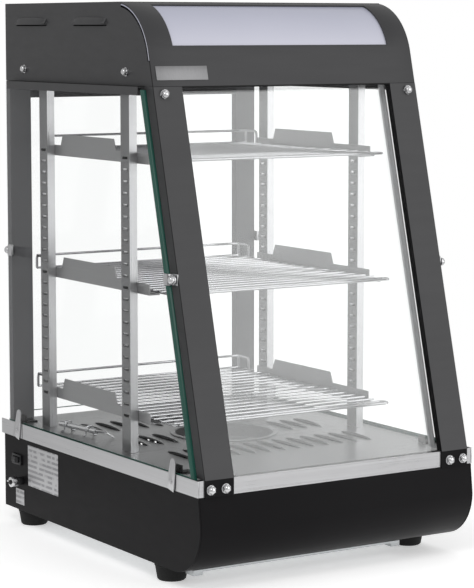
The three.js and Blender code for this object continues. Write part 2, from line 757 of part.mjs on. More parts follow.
// ---- Wire racks ----
// Level 0 is the underside of the two side rods; the cross wires lie on them.
function rack(front, depth) {
  const rear = front + depth;
  const across = [-rackHalf, rackHalf];
  const overlap = WIRE / 6;
  const top = [WIRE - overlap, 2 * WIRE - overlap];
  const wires = [];
  const count = Math.round((depth - RACK_LOOP) / WIRE_PITCH);
  const pitch = (depth - RACK_LOOP - WIRE) / count;
  for (let i = 0; i <= count; i++) {
    const y = front + RACK_LOOP + i * pitch;
    wires.push(block(across, [y, y + WIRE], top));
  }
  wires.push(block(across, [front, front + WIRE], top));
  for (const side of [-1, 1]) {
    const rodX0 = side * (rackHalf - RACK_SIDE_ROD_INSET) - WIRE / 2;
    wires.push(block([rodX0, rodX0 + WIRE], [front + RACK_LOOP, rear], [0, WIRE]));
    const end = side > 0 ? [rackHalf - WIRE, rackHalf] : [-rackHalf, WIRE - rackHalf];
    wires.push(block(end, [front, front + RACK_LOOP + WIRE], top));
    for (const y of [rear - GUARD_DEPTH, rear - WIRE]) {
      wires.push(block(end, [y, y + WIRE], [top[0], GUARD_HEIGHT + WIRE]));
    }
    wires.push(block(end, [rear - GUARD_DEPTH, rear], [GUARD_HEIGHT, GUARD_HEIGHT + WIRE]));
    wires.push(block(end, [rear - GUARD_DEPTH, rear], top));
  }
  wires.push(block(across, [rear - WIRE, rear], [GUARD_HEIGHT, GUARD_HEIGHT + WIRE]));
  return joined(wires);
}

function rackFront(i) {
  const level = shelfLevel(i) + GUARD_HEIGHT;
  const glassBack = frontAt(level) + FRONT_GLASS_DEPTH + GLASS;
  return Math.max(glassBack + RACK_GLASS_GAP, bracketFront - RACK_OVERHANG);
}

function rackDepth(i) {
  const room = frameRear - REAR_POST_DEPTH - RACK_REAR_GAP - rackFront(i);
  return Math.min(RACK_DEPTHS[i], room);
}

// ---- Hood ----
// The hood's front line in Y and Z, from a level up to the cover's end, set in from the outside.
function hoodLine(inset, fromLevel) {
  const radius = HOOD_RADIUS - inset;
  const points = [[frontAt(fromLevel) + inset * leanSecant, fromLevel]];
  const start = Math.atan2(lean, -1);
  const end = Math.acos((coverEnd - arcCentreY) / radius);
  for (let i = 0; i <= ARC_STEPS; i++) {
    const angle = start + (i / ARC_STEPS) * (end - start);
    points.push([arcCentreY + radius * Math.cos(angle), arcCentreZ + radius * Math.sin(angle)]);
  }
  return points;
}

function hoodFrontCover() {
  const outline = [...hoodLine(0, hoodBottom), ...hoodLine(SHEET, hoodBottom).reverse()];
  const sheet = solid(prismX(outline, [-frameHalf, frameHalf]));
  const opening = block(
    [-WINDOW_WIDTH / 2, WINDOW_WIDTH / 2],
    [hoodFront - THROUGH, coverEnd + THROUGH],
    [hoodBottom + WINDOW_SILL, HEIGHT - WINDOW_HEAD],
  );
  return cut(sheet, [opening]);
}

function lightDiffuser() {
  const from = hoodBottom + DIFFUSER_SILL;
  const near = SHEET + GAP;
  const outline = [...hoodLine(near, from), ...hoodLine(near + DIFFUSER, from).reverse()];
  return solid(prismX(outline, [GAP - frameHalf, frameHalf - GAP]));
}

function hoodSide() {
  const near = SHEET + GAP;
  const far = near + DIFFUSER + REVEAL;
  const notch = hoodBottom + DIFFUSER_SILL - REVEAL;
  const outline = [
    [frontAt(hoodBottom) + near * leanSecant, hoodBottom],
    [frontAt(notch) + near * leanSecant, notch],
    ...hoodLine(far, notch),
    [coverEnd + GAP, HEIGHT - far],
    [coverEnd + GAP, HEIGHT],
    [frameRear, HEIGHT],
    [frameRear, hoodBottom],
  ];
  const plate = solid(prismX(outline, [frameHalf - SHEET, frameHalf]));
  const level = HEIGHT - VENT_DROP;
  const slits = [];
  const lips = [];
  for (const inset of VENT_REAR_INSETS) {
    const middle = frameRear - inset;
    const span = [middle - VENT_LENGTH / 2, middle + VENT_LENGTH / 2];
    slits.push(
      block([frameHalf - SHEET - THROUGH, frameHalf + THROUGH], span, [level - VENT_SLIT, level]),
    );
    lips.push(ventLip(span, level));
  }
  return joined([cut(plate, slits), ...lips]);
}

// A pressed lip over a vent slit: flush at its top, proud at its lower edge.
function ventLip([y0, y1], level) {
  const section = [
    [frameHalf - SHEET / 2, level],
    [frameHalf + VENT_LIP_PROUD, level],
    [frameHalf, level + VENT_LIP_HEIGHT],
    [frameHalf - SHEET / 2, level + VENT_LIP_HEIGHT],
  ];
  const flat = prismZ(section, [0, y1 - y0]);
  return solid(flat.rotateX(Math.PI / 2).applyMatrix4(swapToLevel(y1)));
}

// After the quarter turn the outline's height runs along Z; this sets its far end at a given Y.
function swapToLevel(y1) {
  return new THREE.Matrix4().makeTranslation(0, y1, 0);
}

function hoodTop() {
  const half = frameHalf - SHEET - GAP;
  const top = block([-half, half], [coverEnd + GAP, frameRear], [HEIGHT - SHEET, HEIGHT]);
  const rear = block([-half, half], [frameRear - SHEET, frameRear], [hoodBottom, HEIGHT - SHEET / 2]);
  return joined([top, rear]);
}

function hoodFloor() {
  const half = frameHalf - SHEET - GAP;
  const level = [hoodBottom + GAP, hoodBottom + GAP + TRIM];
  const front = frontAt(level[1]) + (SHEET + GAP) * leanSecant + GAP;
  const plate = block([-half, half], [front, frameRear - SHEET - GAP], level);
  const tabs = HANDS.map(([, side]) => {
    const middle = side * (frameHalf - POST_WIDTH / 2);
    const reach = POST_WIDTH / 2 - SHEET - 2 * GAP;
    const tab = new THREE.BoxGeometry(2 * reach, TRIM, HOOD_TAB_HEIGHT + TRIM);
    const behind = postFront + SHEET + GAP + TRIM;
    const height = level[1] - (HOOD_TAB_HEIGHT + TRIM) / 2;
    return solid(leaned(tab.translate(middle, behind + TRIM / 2, height)));
  });
  return joined([plate, ...tabs]);
}

function lampTube() {
  const half = LAMP_LENGTH / 2;
  const cap = half - LAMP_CAP_LENGTH;
  const pin = half + SHEET;
  const body = turned(
    [
      [0, -pin],
      [LAMP_RADIUS / 3, -pin],
      [LAMP_RADIUS / 3, -half],
      [LAMP_RADIUS, -half],
      [LAMP_RADIUS, -cap],
      [LAMP_RADIUS - GAP, -cap],
      [LAMP_RADIUS - GAP, cap],
      [LAMP_RADIUS, cap],
      [LAMP_RADIUS, half],
      [LAMP_RADIUS / 3, half],
      [LAMP_RADIUS / 3, pin],
      [0, pin],
    ],
    SMALL_SIDES,
  );
  return solid(geometryOf(body).rotateY(Math.PI / 2));
}

// ---- Rear door ----
const glassEdge = doorHalf - HINGE_RAIL_WIDTH / 2;

function doorGlass() {
  const middle = hingeMiddle;
  return block([-doorHalf, glassEdge], [middle - GLASS / 2, middle + GLASS / 2], [doorBottom, doorTop]);
}

// Grips the glass along its hinged edge and carries the two pins.
function doorHinge() {
  const [pinX, pinY] = hingePin;
  const outer = pinX + HINGE_PIN_SETBACK;
  const grip = outer - HINGE_RAIL_WIDTH - HINGE_PIN_SETBACK;
  const half = HINGE_RAIL_THICKNESS / 2;
  const bar = block([grip, outer], [pinY - half, pinY + half], [doorBottom, doorTop]);
  const groove = block(
    [grip - THROUGH, glassEdge + GAP],
    [pinY - GLASS / 2 - GAP, pinY + GLASS / 2 + GAP],
    [doorBottom - THROUGH, doorTop + THROUGH],
  );
  const pinEnds = [
    [doorBottom - GAP - HINGE_LUG, doorBottom + HINGE_LUG],
    [doorTop - HINGE_LUG, doorTop + GAP + HINGE_LUG],
  ];
  const pins = pinEnds.map((span) => solid(rodZ(HINGE_PIN_RADIUS, span).translate(pinX, pinY, 0)));
  return joined([cut(bar, [groove]), ...pins]);
}

function doorHandle() {
  const far = handleFace + HANDLE_STAND_OFF;
  const middle = (doorBottom + doorTop) / 2;
  const x0 = HANDLE_INSET - doorHalf;
  const across = [x0, x0 + HANDLE_WIDTH];
  const ends = [middle - HANDLE_LENGTH / 2, middle + HANDLE_LENGTH / 2];
  const bar = block(across, [far, far + HANDLE_BAR], ends);
  const legs = [ends[0], ends[1] - HANDLE_WIDTH].map((z) =>
    block(across, [handleFace, far + HANDLE_BAR / 2], [z, z + HANDLE_WIDTH]),
  );
  return joined([bar, ...legs]);
}

// ---- Controls and connections ----
const switchPlace = { y: frameRear - SWITCH_REAR_INSET, z: FOOT_HEIGHT + SWITCH_RISE };
const terminalPlace = { y: frameRear - TERMINAL_REAR_INSET, z: FOOT_HEIGHT + TERMINAL_RISE };
const knobZ = FOOT_HEIGHT + KNOB_RISE;
const glandZ = FOOT_HEIGHT + GLAND_RISE;

// Level 0 of X is the panel's outside; the frame stands proud of it and its body reaches inwards.
function switchFrame() {
  const [halfY, halfZ] = [SWITCH_LENGTH / 2, SWITCH_HEIGHT / 2];
  const bezel = block([GAP, GAP + SWITCH_BEZEL], [-halfY, halfY], [-halfZ, halfZ]);
  const body = block(
    [-SWITCH_BODY_DEPTH, GAP + SWITCH_BEZEL / 2],
    [SWITCH_LIP - halfY, halfY - SWITCH_LIP],
    [SWITCH_LIP - halfZ, halfZ - SWITCH_LIP],
  );
  const well = block(
    [-2 * SWITCH_PIVOT_DEPTH, SWITCH_BEZEL + THROUGH],
    [SWITCH_LIP + SWITCH_WALL - halfY, halfY - SWITCH_LIP - SWITCH_WALL],
    [SWITCH_LIP + SWITCH_WALL - halfZ, halfZ - SWITCH_LIP - SWITCH_WALL],
  );
  return cut(joined([bezel, body]), [well]);
}

// The pivot is at the origin, across the rocker's short side; it rests tipped to its off side.
function switchRocker() {
  const sway = (SWITCH_PIVOT_DEPTH + SWITCH_BEZEL) * Math.sin(THREE.MathUtils.degToRad(SWITCH_TILT));
  const half = SWITCH_LENGTH / 2 - SWITCH_LIP - SWITCH_WALL - GAP - sway;
  const halfZ = SWITCH_HEIGHT / 2 - SWITCH_LIP - SWITCH_WALL - GAP;
  const crown = SWITCH_PIVOT_DEPTH + SWITCH_BEZEL + SWITCH_PROUD;
  const shoulder = SWITCH_PIVOT_DEPTH + SWITCH_BEZEL;
  const neck = half / 2;
  const section = [
    [-neck, 0],
    [neck, 0],
    [half, shoulder],
    [half - SHEET, crown],
    [0, crown - SHEET],
    [SHEET - half, crown],
    [-half, shoulder],
  ];
  const flat = prismZ(section.map(([y, x]) => [x, y]), [-halfZ, halfZ]);
  return solid(flat.rotateZ(THREE.MathUtils.degToRad(SWITCH_TILT)));
}

function earthTerminal() {
  const sleeveEnd = GAP + TERMINAL_SLEEVE;
  const boltEnd = sleeveEnd + GAP + WING_HUB + TERMINAL_BOLT_END;
  const sleeve = solid(rodX(TERMINAL_SLEEVE_RADIUS, [GAP, sleeveEnd]));
  const bolt = solid(rodX(TERMINAL_BOLT_RADIUS, [-2 * TERMINAL_SLEEVE, boltEnd - GAP]));
  return joined([sleeve, bolt]);
}

// Level 0 of X is the nut's seat.
function wingNut() {
  const hub = solid(rodX(WING_HUB_RADIUS, [0, WING_HUB]));
  const wings = [-1, 1].map((side) => {
    const section = [
      [0, side * TERMINAL_BOLT_RADIUS],
      [WING_HUB / 2, side * (WING_SPAN / 2)],
      [WING_HUB, side * (WING_SPAN / 2)],
      [WING_HUB, side * TERMINAL_BOLT_RADIUS],
    ];
    return solid(prismZ(section, [-WING_THICKNESS / 2, WING_THICKNESS / 2]));
  });
  const bore = rodX(TERMINAL_BOLT_RADIUS + WING_BORE_PLAY, [-THROUGH, WING_HUB + THROUGH]);
  return cut(joined([hub, ...wings]), [solid(bore)]);
}

function thermostatBody() {
  const half = THERMOSTAT_SIZE / 2;
  const back = frameRear - SHEET - GAP;
  const box = block(
    [KNOB_SIDE - half, KNOB_SIDE + half],
    [back - THERMOSTAT_DEPTH, back],
    [knobZ - half, knobZ + half],
  );
  const end = frameRear + KNOB_DEPTH / 2;
  const spindle = rodY(SPINDLE_RADIUS, [back - SHEET, end]).translate(KNOB_SIDE, 0, knobZ);
  return joined([box, solid(spindle)]);
}

// The knob's axis is Y through the origin; level 0 of Y is its skirt's face against the panel.
function thermostatKnob() {
  const skirt = solid(rodY(KNOB_RADIUS, [0, KNOB_SKIRT], ROUND_SIDES));
  const grip = solid(rodY(KNOB_GRIP_RADIUS, [KNOB_SKIRT / 2, KNOB_DEPTH], ROUND_SIDES));
  const bore = solid(rodY(SPINDLE_RADIUS + SPINDLE_PLAY, [-THROUGH, KNOB_DEPTH / 2 + 2 * GAP]));
  const pointer = block(
    [-GAP * 2, GAP * 2],
    [KNOB_DEPTH - TRIM, KNOB_DEPTH + THROUGH],
    [KNOB_GRIP_RADIUS / 3, KNOB_GRIP_RADIUS + THROUGH],
  );
  return cut(joined([skirt, grip]), [bore, pointer]);
}

// The gland's axis is Y through the origin; level 0 of Y is the rear panel's outside.
function cableGland() {
  const inside = SHEET + GAP + TRIM;
  const profile = [
    [GLAND_BORE_RADIUS, -GLAND_DEPTH / 2],
    [GLAND_NECK_RADIUS, -GLAND_DEPTH / 2],
    [GLAND_NECK_RADIUS, GAP],
    [GLAND_RADIUS, GAP],
    [GLAND_RADIUS, inside],
    [GLAND_NECK_RADIUS, GLAND_DEPTH],
    [GLAND_BORE_RADIUS, GLAND_DEPTH],
    [GLAND_BORE_RADIUS, -GLAND_DEPTH / 2],
  ];
  return solid(geometryOf(turned(profile, ROUND_SIDES / 2)).rotateX(-Math.PI / 2));
}

// A tubular heater in one hairpin under the deck.
function heatingElement() {
  const level = deckTop - ELEMENT_DROP;
  const half = frameHalf - ELEMENT_SIDE_INSET;
  const [front, rear] = [frameFront + ELEMENT_END_INSET, frameRear - ELEMENT_END_INSET];
  const at = (x, y) => new THREE.Vector3(x, y, level);
  const path = new THREE.CurvePath();
  path.add(new THREE.LineCurve3(at(-half, rear), at(-half, front + ELEMENT_BEND)));
  path.add(
    new THREE.QuadraticBezierCurve3(
      at(-half, front + ELEMENT_BEND),
      at(-half, front),
      at(ELEMENT_BEND - half, front),
    ),
  );
  path.add(new THREE.LineCurve3(at(ELEMENT_BEND - half, front), at(half - ELEMENT_BEND, front)));
  path.add(
    new THREE.QuadraticBezierCurve3(
      at(half - ELEMENT_BEND, front),
      at(half, front),
      at(half, front + ELEMENT_BEND),
    ),
  );
  path.add(new THREE.LineCurve3(at(half, front + ELEMENT_BEND), at(half, rear)));
  const ring = new THREE.Shape();
  ring.absarc(0, 0, ELEMENT_RADIUS, 0, 2 * Math.PI);
  const steps = 2 * ROUND_SIDES;
  const tube = new THREE.ExtrudeGeometry(ring, { steps, curveSegments: 4, extrudePath: path });
  return solid(tube);
}

// ---- Assembly ----
placePair("base_side", baseSide(), "black");
casing.getObjectByName("base_side_left").geometry = geometryOf(leftBaseSide());
place("base_front", baseFront(), "black");
place("base_bottom", baseBottom(), "zinc");
place("base_rear", baseRear(), "black");
place("under_strip", underStrip(), "zinc");
const footX = baseOuter - FOOT_SIDE_INSET;
placePair("foot_front", foot(), "rubber", [footX, frameFront + FOOT_FRONT_INSET, 0]);
placePair("foot_rear", foot(), "rubber", [footX, frameRear - FOOT_REAR_INSET, 0]);
place("band_front", bandFront(), "stainless");
placePair("band", bandSide(), "stainless");
place("deck", deck(), "stainless");
place("water_pan", waterPan(), "stainless", [0, PAN_OFFSET, deckTop + GAP]);
const buttons = [
  ["front", buttonFrontY, BUTTON_FRONT_LEAN],
  ["rear", buttonRearY, BUTTON_REAR_LEAN],
];
for (const [end, y, tilt] of buttons) {
  placePair("turn_button_" + end, turnButton(), "stainless", [bandOuter, y, buttonZ], tilt);
}

placePair("front_post", frontPost(), "charcoal");
placePair("rear_post", rearPost(), "charcoal");
casing.getObjectByName("rear_post_right").geometry = geometryOf(hingePost());
place("rear_top_rail", rearTopRail(), "charcoal");
placePair("glass_channel", glassChannel(), "black");
placePair("side_glass", sideGlass(), "glass");
place("front_glass", frontGlass(), "glass");

placePair("upright_front", upright(frontUprightFace), "stainless");
placePair("upright_rear", upright(rearUprightFace), "stainless");
SHELF_NAMES.forEach((shelf, i) => {
  placePair("bracket_" + shelf, bracket(), "stainless", [0, 0, shelfLevel(i)]);
  const level = shelfLevel(i) + TRIM + GAP;
  place("rack_" + shelf, rack(rackFront(i), rackDepth(i)), "chrome", [0, 0, level]);
});

placePair("hood_side", hoodSide(), "charcoal");
place("hood_front_cover", hoodFrontCover(), "charcoal");
place("hood_top", hoodTop(), "charcoal");
place("hood_floor", hoodFloor(), "stainless");
place("light_diffuser", lightDiffuser(), "acrylic");
const lampY = arcCentreY - LAMP_BEHIND;
place("lamp_tube", lampTube(), "acrylic", [0, lampY, HEIGHT - LAMP_DROP]);

place("rear_door_glass", doorGlass(), "glass");
place("rear_door_hinge", doorHinge(), "zinc");
place("rear_door_handle", doorHandle(), "plastic");

const { y: switchY, z: switchZ } = switchPlace;
place("switch_frame", switchFrame(), "plastic", [-baseOuter, switchY, switchZ], -1);
place("switch_rocker", switchRocker(), "plastic", [SWITCH_PIVOT_DEPTH - baseOuter, switchY, switchZ], -1);
place("earth_terminal", earthTerminal(), "zinc", [-baseOuter, terminalPlace.y, terminalPlace.z], -1);
const nutSeat = baseOuter + 2 * GAP + TERMINAL_SLEEVE;
place("wing_nut", wingNut(), "chrome", [-nutSeat, terminalPlace.y, terminalPlace.z], -1);
place("thermostat_body", thermostatBody(), "zinc");
place("thermostat_knob", thermostatKnob(), "plastic", [KNOB_SIDE, frameRear + GAP, knobZ]);
place("cable_gland", cableGland(), "plastic", [GLAND_SIDE, frameRear, glandZ]);
place("heating_element", heatingElement(), "zinc");

const root = new THREE.Group();
root.add(casing);
export default root;
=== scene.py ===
"""Finishes and fine shapes for a countertop hot food display case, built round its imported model."""

from __future__ import annotations

import logging
import math
from dataclasses import dataclass, field
from enum import Enum
from typing import Any, Iterable, Sequence, Union

import bmesh
import bpy
from mathutils import Matrix, Vector


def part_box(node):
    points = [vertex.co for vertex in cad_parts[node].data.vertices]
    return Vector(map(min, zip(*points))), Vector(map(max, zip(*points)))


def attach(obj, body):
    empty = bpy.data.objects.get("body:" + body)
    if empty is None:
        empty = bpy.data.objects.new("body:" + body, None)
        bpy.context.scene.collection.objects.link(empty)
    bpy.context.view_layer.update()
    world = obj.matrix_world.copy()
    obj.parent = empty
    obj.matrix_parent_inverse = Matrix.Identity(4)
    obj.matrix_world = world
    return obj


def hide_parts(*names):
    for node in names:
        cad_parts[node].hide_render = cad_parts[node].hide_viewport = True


LOG = logging.getLogger("display_case")
MM = 0.001
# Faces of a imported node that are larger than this, in square metres, are shaded flat.
FLAT_FROM = 4e-4
# How far a face may lean from an axis and still count as square to it, as a cosine.
SQUARE = 0.9
Colour = tuple[float, float, float]
Number = Union[float, "Value"]

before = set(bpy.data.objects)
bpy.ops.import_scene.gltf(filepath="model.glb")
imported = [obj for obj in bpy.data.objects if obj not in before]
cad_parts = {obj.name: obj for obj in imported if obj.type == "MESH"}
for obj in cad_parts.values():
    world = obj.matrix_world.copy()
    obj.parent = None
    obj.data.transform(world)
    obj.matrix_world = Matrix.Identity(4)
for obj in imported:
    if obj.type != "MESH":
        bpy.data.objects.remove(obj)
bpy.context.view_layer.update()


class Body(str, Enum):
    """The moving bodies that a piece can ride on."""

    CASE = "case"
    PAN = "water_pan_body"
    DOOR = "rear_door"
    ROCKER = "rocker"
    WING_NUT = "wing_nut_body"
    KNOB = "knob"


class Slot(str, Enum):
    """The material slots of the record."""

    CHARCOAL = "painted_charcoal"
    BLACK = "painted_black"
    STAINLESS = "stainless"
    ZINC = "zinc_plated"
    WIRE = "chromed_wire"
    GLASS = "glass"
    ACRYLIC = "white_acrylic"
    PLASTIC = "black_plastic"
    RUBBER = "rubber"


class Grain(Enum):
    """The direction in which a sheet is brushed, as the noise's scale along X, Y and Z."""

    ALONG_X = (5.0, 700.0, 700.0)
    ALONG_Y = (700.0, 5.0, 700.0)
    ALONG_Z = (700.0, 700.0, 5.0)


class Side(Enum):
    """The two hands of a piece that comes in pairs."""

    LEFT = -1
    RIGHT = 1


# ---- Shader graphs ----
@dataclass
class Value:
    """A number that flows through a material, with ordinary arithmetic."""

    graph: "Graph"
    socket: bpy.types.NodeSocket | None

    def math(self, operation: str, *others: Number) -> "Value":
        """Puts this value and others through one Math node."""
        inputs = dict(enumerate([self, *others]))
        return self.graph.node("ShaderNodeMath", {"operation": operation}, inputs)

    def __add__(self, other: Number) -> "Value":
        """Sum."""
        return self.math("ADD", other)

    def __radd__(self, other: float) -> "Value":
        """Sum with a plain number on the left."""
        return self.math("ADD", other)

    def __sub__(self, other: Number) -> "Value":
        """Difference."""
        return self.math("SUBTRACT", other)

    def __rsub__(self, other: float) -> "Value":
        """Difference from a plain number."""
        return self.graph.node("ShaderNodeMath", {"operation": "SUBTRACT"}, {0: other, 1: self})

    def __mul__(self, other: Number) -> "Value":
        """Product."""
        return self.math("MULTIPLY", other)

    def __rmul__(self, other: float) -> "Value":
        """Product with a plain number on the left."""
        return self.math("MULTIPLY", other)

    def above(self, level: float) -> "Value":
        """One where the value is over the level, and zero elsewhere."""
        return self.math("GREATER_THAN", level)

    def clamped(self) -> "Value":
        """The value kept between zero and one."""
        return self.graph.node(
            "ShaderNodeClamp", {}, {"Value": self, "Min": 0.0, "Max": 1.0}
        )


class Graph:
    """The node tree of one new material."""

    def __init__(self, name: str) -> None:
        """Starts an empty material.

        Args:
            name: The material's name.
        """
        self.material = bpy.data.materials.new(name)
        self.material.use_nodes = True
        self.tree = self.material.node_tree
        self.tree.nodes.clear()

    def node(
        self,
        kind: str,
        settings: dict[str, Any] | None = None,
        inputs: dict[Union[str, int], Any] | None = None,
        output: Union[str, int] = 0,
    ) -> Value:
        """Adds a node.

        Args:
            kind: The node's type.
            settings: Its own settings; "stops" are a ramp's (place, colour) pairs.
            inputs: A number, a colour or a Value for each socket.
            output: The socket that is returned.

        Returns:
            The value that comes out of the node.
        """
        made = self.tree.nodes.new(kind)
        for key, setting in (settings or {}).items():
            if key == "stops":
                self._set_stops(made, setting)
            else:
                setattr(made, key, setting)
        for key, given in (inputs or {}).items():
            if isinstance(given, Value):
                self.tree.links.new(given.socket, made.inputs[key])
            else:
                made.inputs[key].default_value = given
        return Value(self, made.outputs[output] if made.outputs else None)

    @staticmethod
    def _set_stops(ramp: bpy.types.Node, stops: Sequence[tuple[float, Colour]]) -> None:
        """Sets a colour ramp's stops.

        Args:
            ramp: The ramp node.
            stops: Places from 0 to 1 with their colours.
        """
        elements = ramp.color_ramp.elements
        while len(elements) < len(stops):
            elements.new(0.5)
        for element, (place, colour) in zip(elements, stops):
            element.position = place
            element.color = (*colour, 1.0)

    def place(self) -> Value:
        """The point on the piece, in metres."""
        return self.node("ShaderNodeTexCoord", output="Object")

    def stretched(self, scale: Sequence[float]) -> Value:
        """The point on the piece with each axis scaled.

        Args:
            scale: The factor along X, Y and Z.

        Returns:
            The scaled point.
        """
        return self.node(
            "ShaderNodeMapping", {}, {"Vector": self.place(), "Scale": tuple(scale)}
        )

    def noise(self, at: Value, scale: float, detail: float = 3.0, rough: float = 0.5) -> Value:
        """Cloudy noise from 0 to 1.

        Args:
            at: Where it is read.
            scale: Clouds to the metre.
            detail: Octaves.
            rough: How strong the finer octaves are.

        Returns:
            The noise.
        """
        inputs = {"Vector": at, "Scale": scale, "Detail": detail, "Roughness": rough}
        return self.node("ShaderNodeTexNoise", {}, inputs)

    def cells(self, at: Value, scale: float, output: str = "Distance") -> Value:
        """Cellular noise.

        Args:
            at: Where it is read.
            scale: Cells to the metre.
            output: The socket that is read.

        Returns:
            The noise.
        """
        return self.node("ShaderNodeTexVoronoi", {}, {"Vector": at, "Scale": scale}, output)

    def mix(self, mask: Number, low: Any, high: Any) -> Value:
        """Mixes two colours.

        Args:
            mask: 0 gives low and 1 gives high.
            low: A colour or a Value.
            high: A colour or a Value.

        Returns:
            The mixed colour.
        """
        ends = [c if isinstance(c, Value) else (*c, 1.0) for c in (low, high)]
        inputs = {0: mask, 6: ends[0], 7: ends[1]}
        return self.node("ShaderNodeMix", {"data_type": "RGBA"}, inputs, 2)

    def axis(self, name: str) -> Value:
        """One coordinate of the point on the piece.

        Args:
            name: X, Y or Z.

        Returns:
            The coordinate in metres.
        """
        return self.node("ShaderNodeSeparateXYZ", {}, {0: self.place()}, name)

    def bump(self, height: Value, depth: float) -> Value:
        """A normal from a height.

        Args:
            height: The height from 0 to 1.
            depth: What a height of 1 means, in metres.

        Returns:
            The normal.
        """
        inputs = {"Height": height, "Distance": depth, "Strength": 1.0}
        return self.node("ShaderNodeBump", {}, inputs)

    def surface(self, **sockets: Any) -> Value:
        """A Principled shader.

        Args:
            **sockets: Values by socket name, with _ for a space.

        Returns:
            The shader.
        """
        inputs = {}
        for key, given in sockets.items():
            plain_colour = isinstance(given, tuple) and len(given) == 3
            inputs[key.replace("_", " ")] = (*given, 1.0) if plain_colour else given
        return self.node("ShaderNodeBsdfPrincipled", {}, inputs)

    def done(self, shader: Value) -> bpy.types.Material:
        """Sets the material's surface.

        Args:
            shader: The shader that it shows.

        Returns:
            The material.
        """
        self.node("ShaderNodeOutputMaterial", {}, {"Surface": shader})
        return self.material


# ---- Finishes ----
@dataclass(frozen=True)
class PowderCoat:
    """Baked paint with a fine orange-peel skin."""

    name: str
    colour: Colour
    roughness: float
    gloss: float
    peel: float = 0.00006

    def material(self) -> bpy.types.Material:
        """The paint as a material."""
        g = Graph(self.name)
        at = g.place()
        cloud = g.noise(at, 7.0, 4.0)
        speck = g.noise(at, 1500.0, 2.0)
        wiped = g.noise(g.stretched((3.0, 9.0, 30.0)), 4.0, 5.0, 0.6)
        light = tuple(c * 1.25 + 0.003 for c in self.colour)
        dark = tuple(c * 0.85 for c in self.colour)
        mask = (cloud * 0.6 + speck * 0.4).clamped()
        rough = wiped * 0.16 + speck * 0.06 + (self.roughness - 0.11)
        height = g.noise(at, 420.0, 2.0) * 0.7 + speck * 0.3
        return g.done(
            g.surface(
                Base_Color=g.mix(mask, dark, light),
                Roughness=rough,
                Specular_IOR_Level=self.gloss,
                Normal=g.bump(height, self.peel),
            )
        )


@dataclass(frozen=True)
class Brushed:
    """Metal sheet with a brushed grain."""

    name: str
    colour: Colour
    grain: Grain
    roughness: float = 0.3
    depth: float = 0.00003

    def material(self) -> bpy.types.Material:
        """The metal as a material."""
        g = Graph(self.name)
        fine = g.noise(g.stretched(self.grain.value), 1.0, 4.0, 0.7)
        wide = g.noise(g.stretched([s * 0.12 for s in self.grain.value]), 1.0, 2.0)
        hand = g.noise(g.place(), 14.0, 4.0, 0.6)
        streak = fine * 0.85 + wide * 0.15
        dark = tuple(c * 0.78 for c in self.colour)
        light = tuple(min(1.0, c * 1.14) for c in self.colour)
        rough = streak * 0.18 + hand * 0.1 + (self.roughness - 0.14)
        return g.done(
            g.surface(
                Base_Color=g.mix(streak, dark, light),
                Metallic=1.0,
                Roughness=rough,
                Normal=g.bump(streak, self.depth),
            )
        )


@dataclass(frozen=True)
class Plated:
    """Chrome or nickel plating with faint drag marks."""

    name: str
    colour: Colour
    roughness: float

    def material(self) -> bpy.types.Material:
        """The plating as a material."""
        g = Graph(self.name)
        at = g.place()
        haze = g.noise(at, 60.0, 4.0, 0.6)
        pit = g.cells(at, 900.0)
        dark = tuple(c * 0.82 for c in self.colour)
        return g.done(
            g.surface(
                Base_Color=g.mix(haze, dark, self.colour),
                Metallic=1.0,
                Roughness=haze * 0.12 + (self.roughness - 0.05),
                Normal=g.bump(pit * 0.3 + haze * 0.7, 0.00003),
            )
        )


@dataclass(frozen=True)
class Galvanised:
    """Zinc-coated sheet with a soft spangle."""

    name: str
    colour: Colour

    def material(self) -> bpy.types.Material:
        """The zinc as a material."""
        g = Graph(self.name)
        at = g.place()
        spangle = g.node("ShaderNodeSeparateXYZ", {}, {0: g.cells(at, 85.0, "Color")}, "X")
        haze = g.noise(at, 30.0, 4.0)
        mask = spangle * 0.5 + haze * 0.5
        dark = tuple(c * 0.72 for c in self.colour)
        return g.done(
            g.surface(
                Base_Color=g.mix(mask, dark, self.colour),
                Metallic=0.9,
                Roughness=mask * 0.2 + 0.34,
                Normal=g.bump(g.noise(at, 500.0), 0.00004),
            )
        )


@dataclass(frozen=True)
class Moulded:
    """Moulded plastic or rubber with a spark-eroded grain."""

    name: str
    colour: Colour
    roughness: float
    grain: float
    depth: float

    def material(self) -> bpy.types.Material:
        """The moulding as a material."""
        g = Graph(self.name)
        at = g.place()
        grain = g.cells(at, self.grain)
        dust = g.noise(at, 25.0, 5.0, 0.65)
        light = tuple(c * 1.6 + 0.004 for c in self.colour)
        return g.done(
            g.surface(
                Base_Color=g.mix(dust * grain, self.colour, light),
                Roughness=dust * 0.2 + (self.roughness - 0.1),
                Specular_IOR_Level=0.35,
                Normal=g.bump(grain, self.depth),
            )
        )


@dataclass(frozen=True)
class Pane:
    """Clear float glass that shows a soft sheen and faint wipe marks."""

    name: str
    sheen: float
    mirror: float
    tint: Colour = (0.995, 0.998, 0.997)

    def material(self) -> bpy.types.Material:
        """The glass as a material."""
        g = Graph(self.name)
        wipe = g.noise(g.stretched((6.0, 6.0, 22.0)), 2.0, 4.0, 0.6)
        inside = g.node("ShaderNodeNewGeometry", output="Backfacing")
        edge_on = g.node("ShaderNodeFresnel", {}, {"IOR": inside * (1 / 1.45 - 1.45) + 1.45})
        share = (edge_on * self.mirror + wipe * (self.sheen * 0.24) + self.sheen * 0.88).clamped()
        clear = g.node("ShaderNodeBsdfTransparent", {}, {"Color": (*self.tint, 1.0)})
        gloss = g.surface(Base_Color=(0.96, 0.97, 0.97), Metallic=1.0, Roughness=wipe * 0.06)
        return g.done(g.node("ShaderNodeMixShader", {}, {0: share, 1: clear, 2: gloss}))


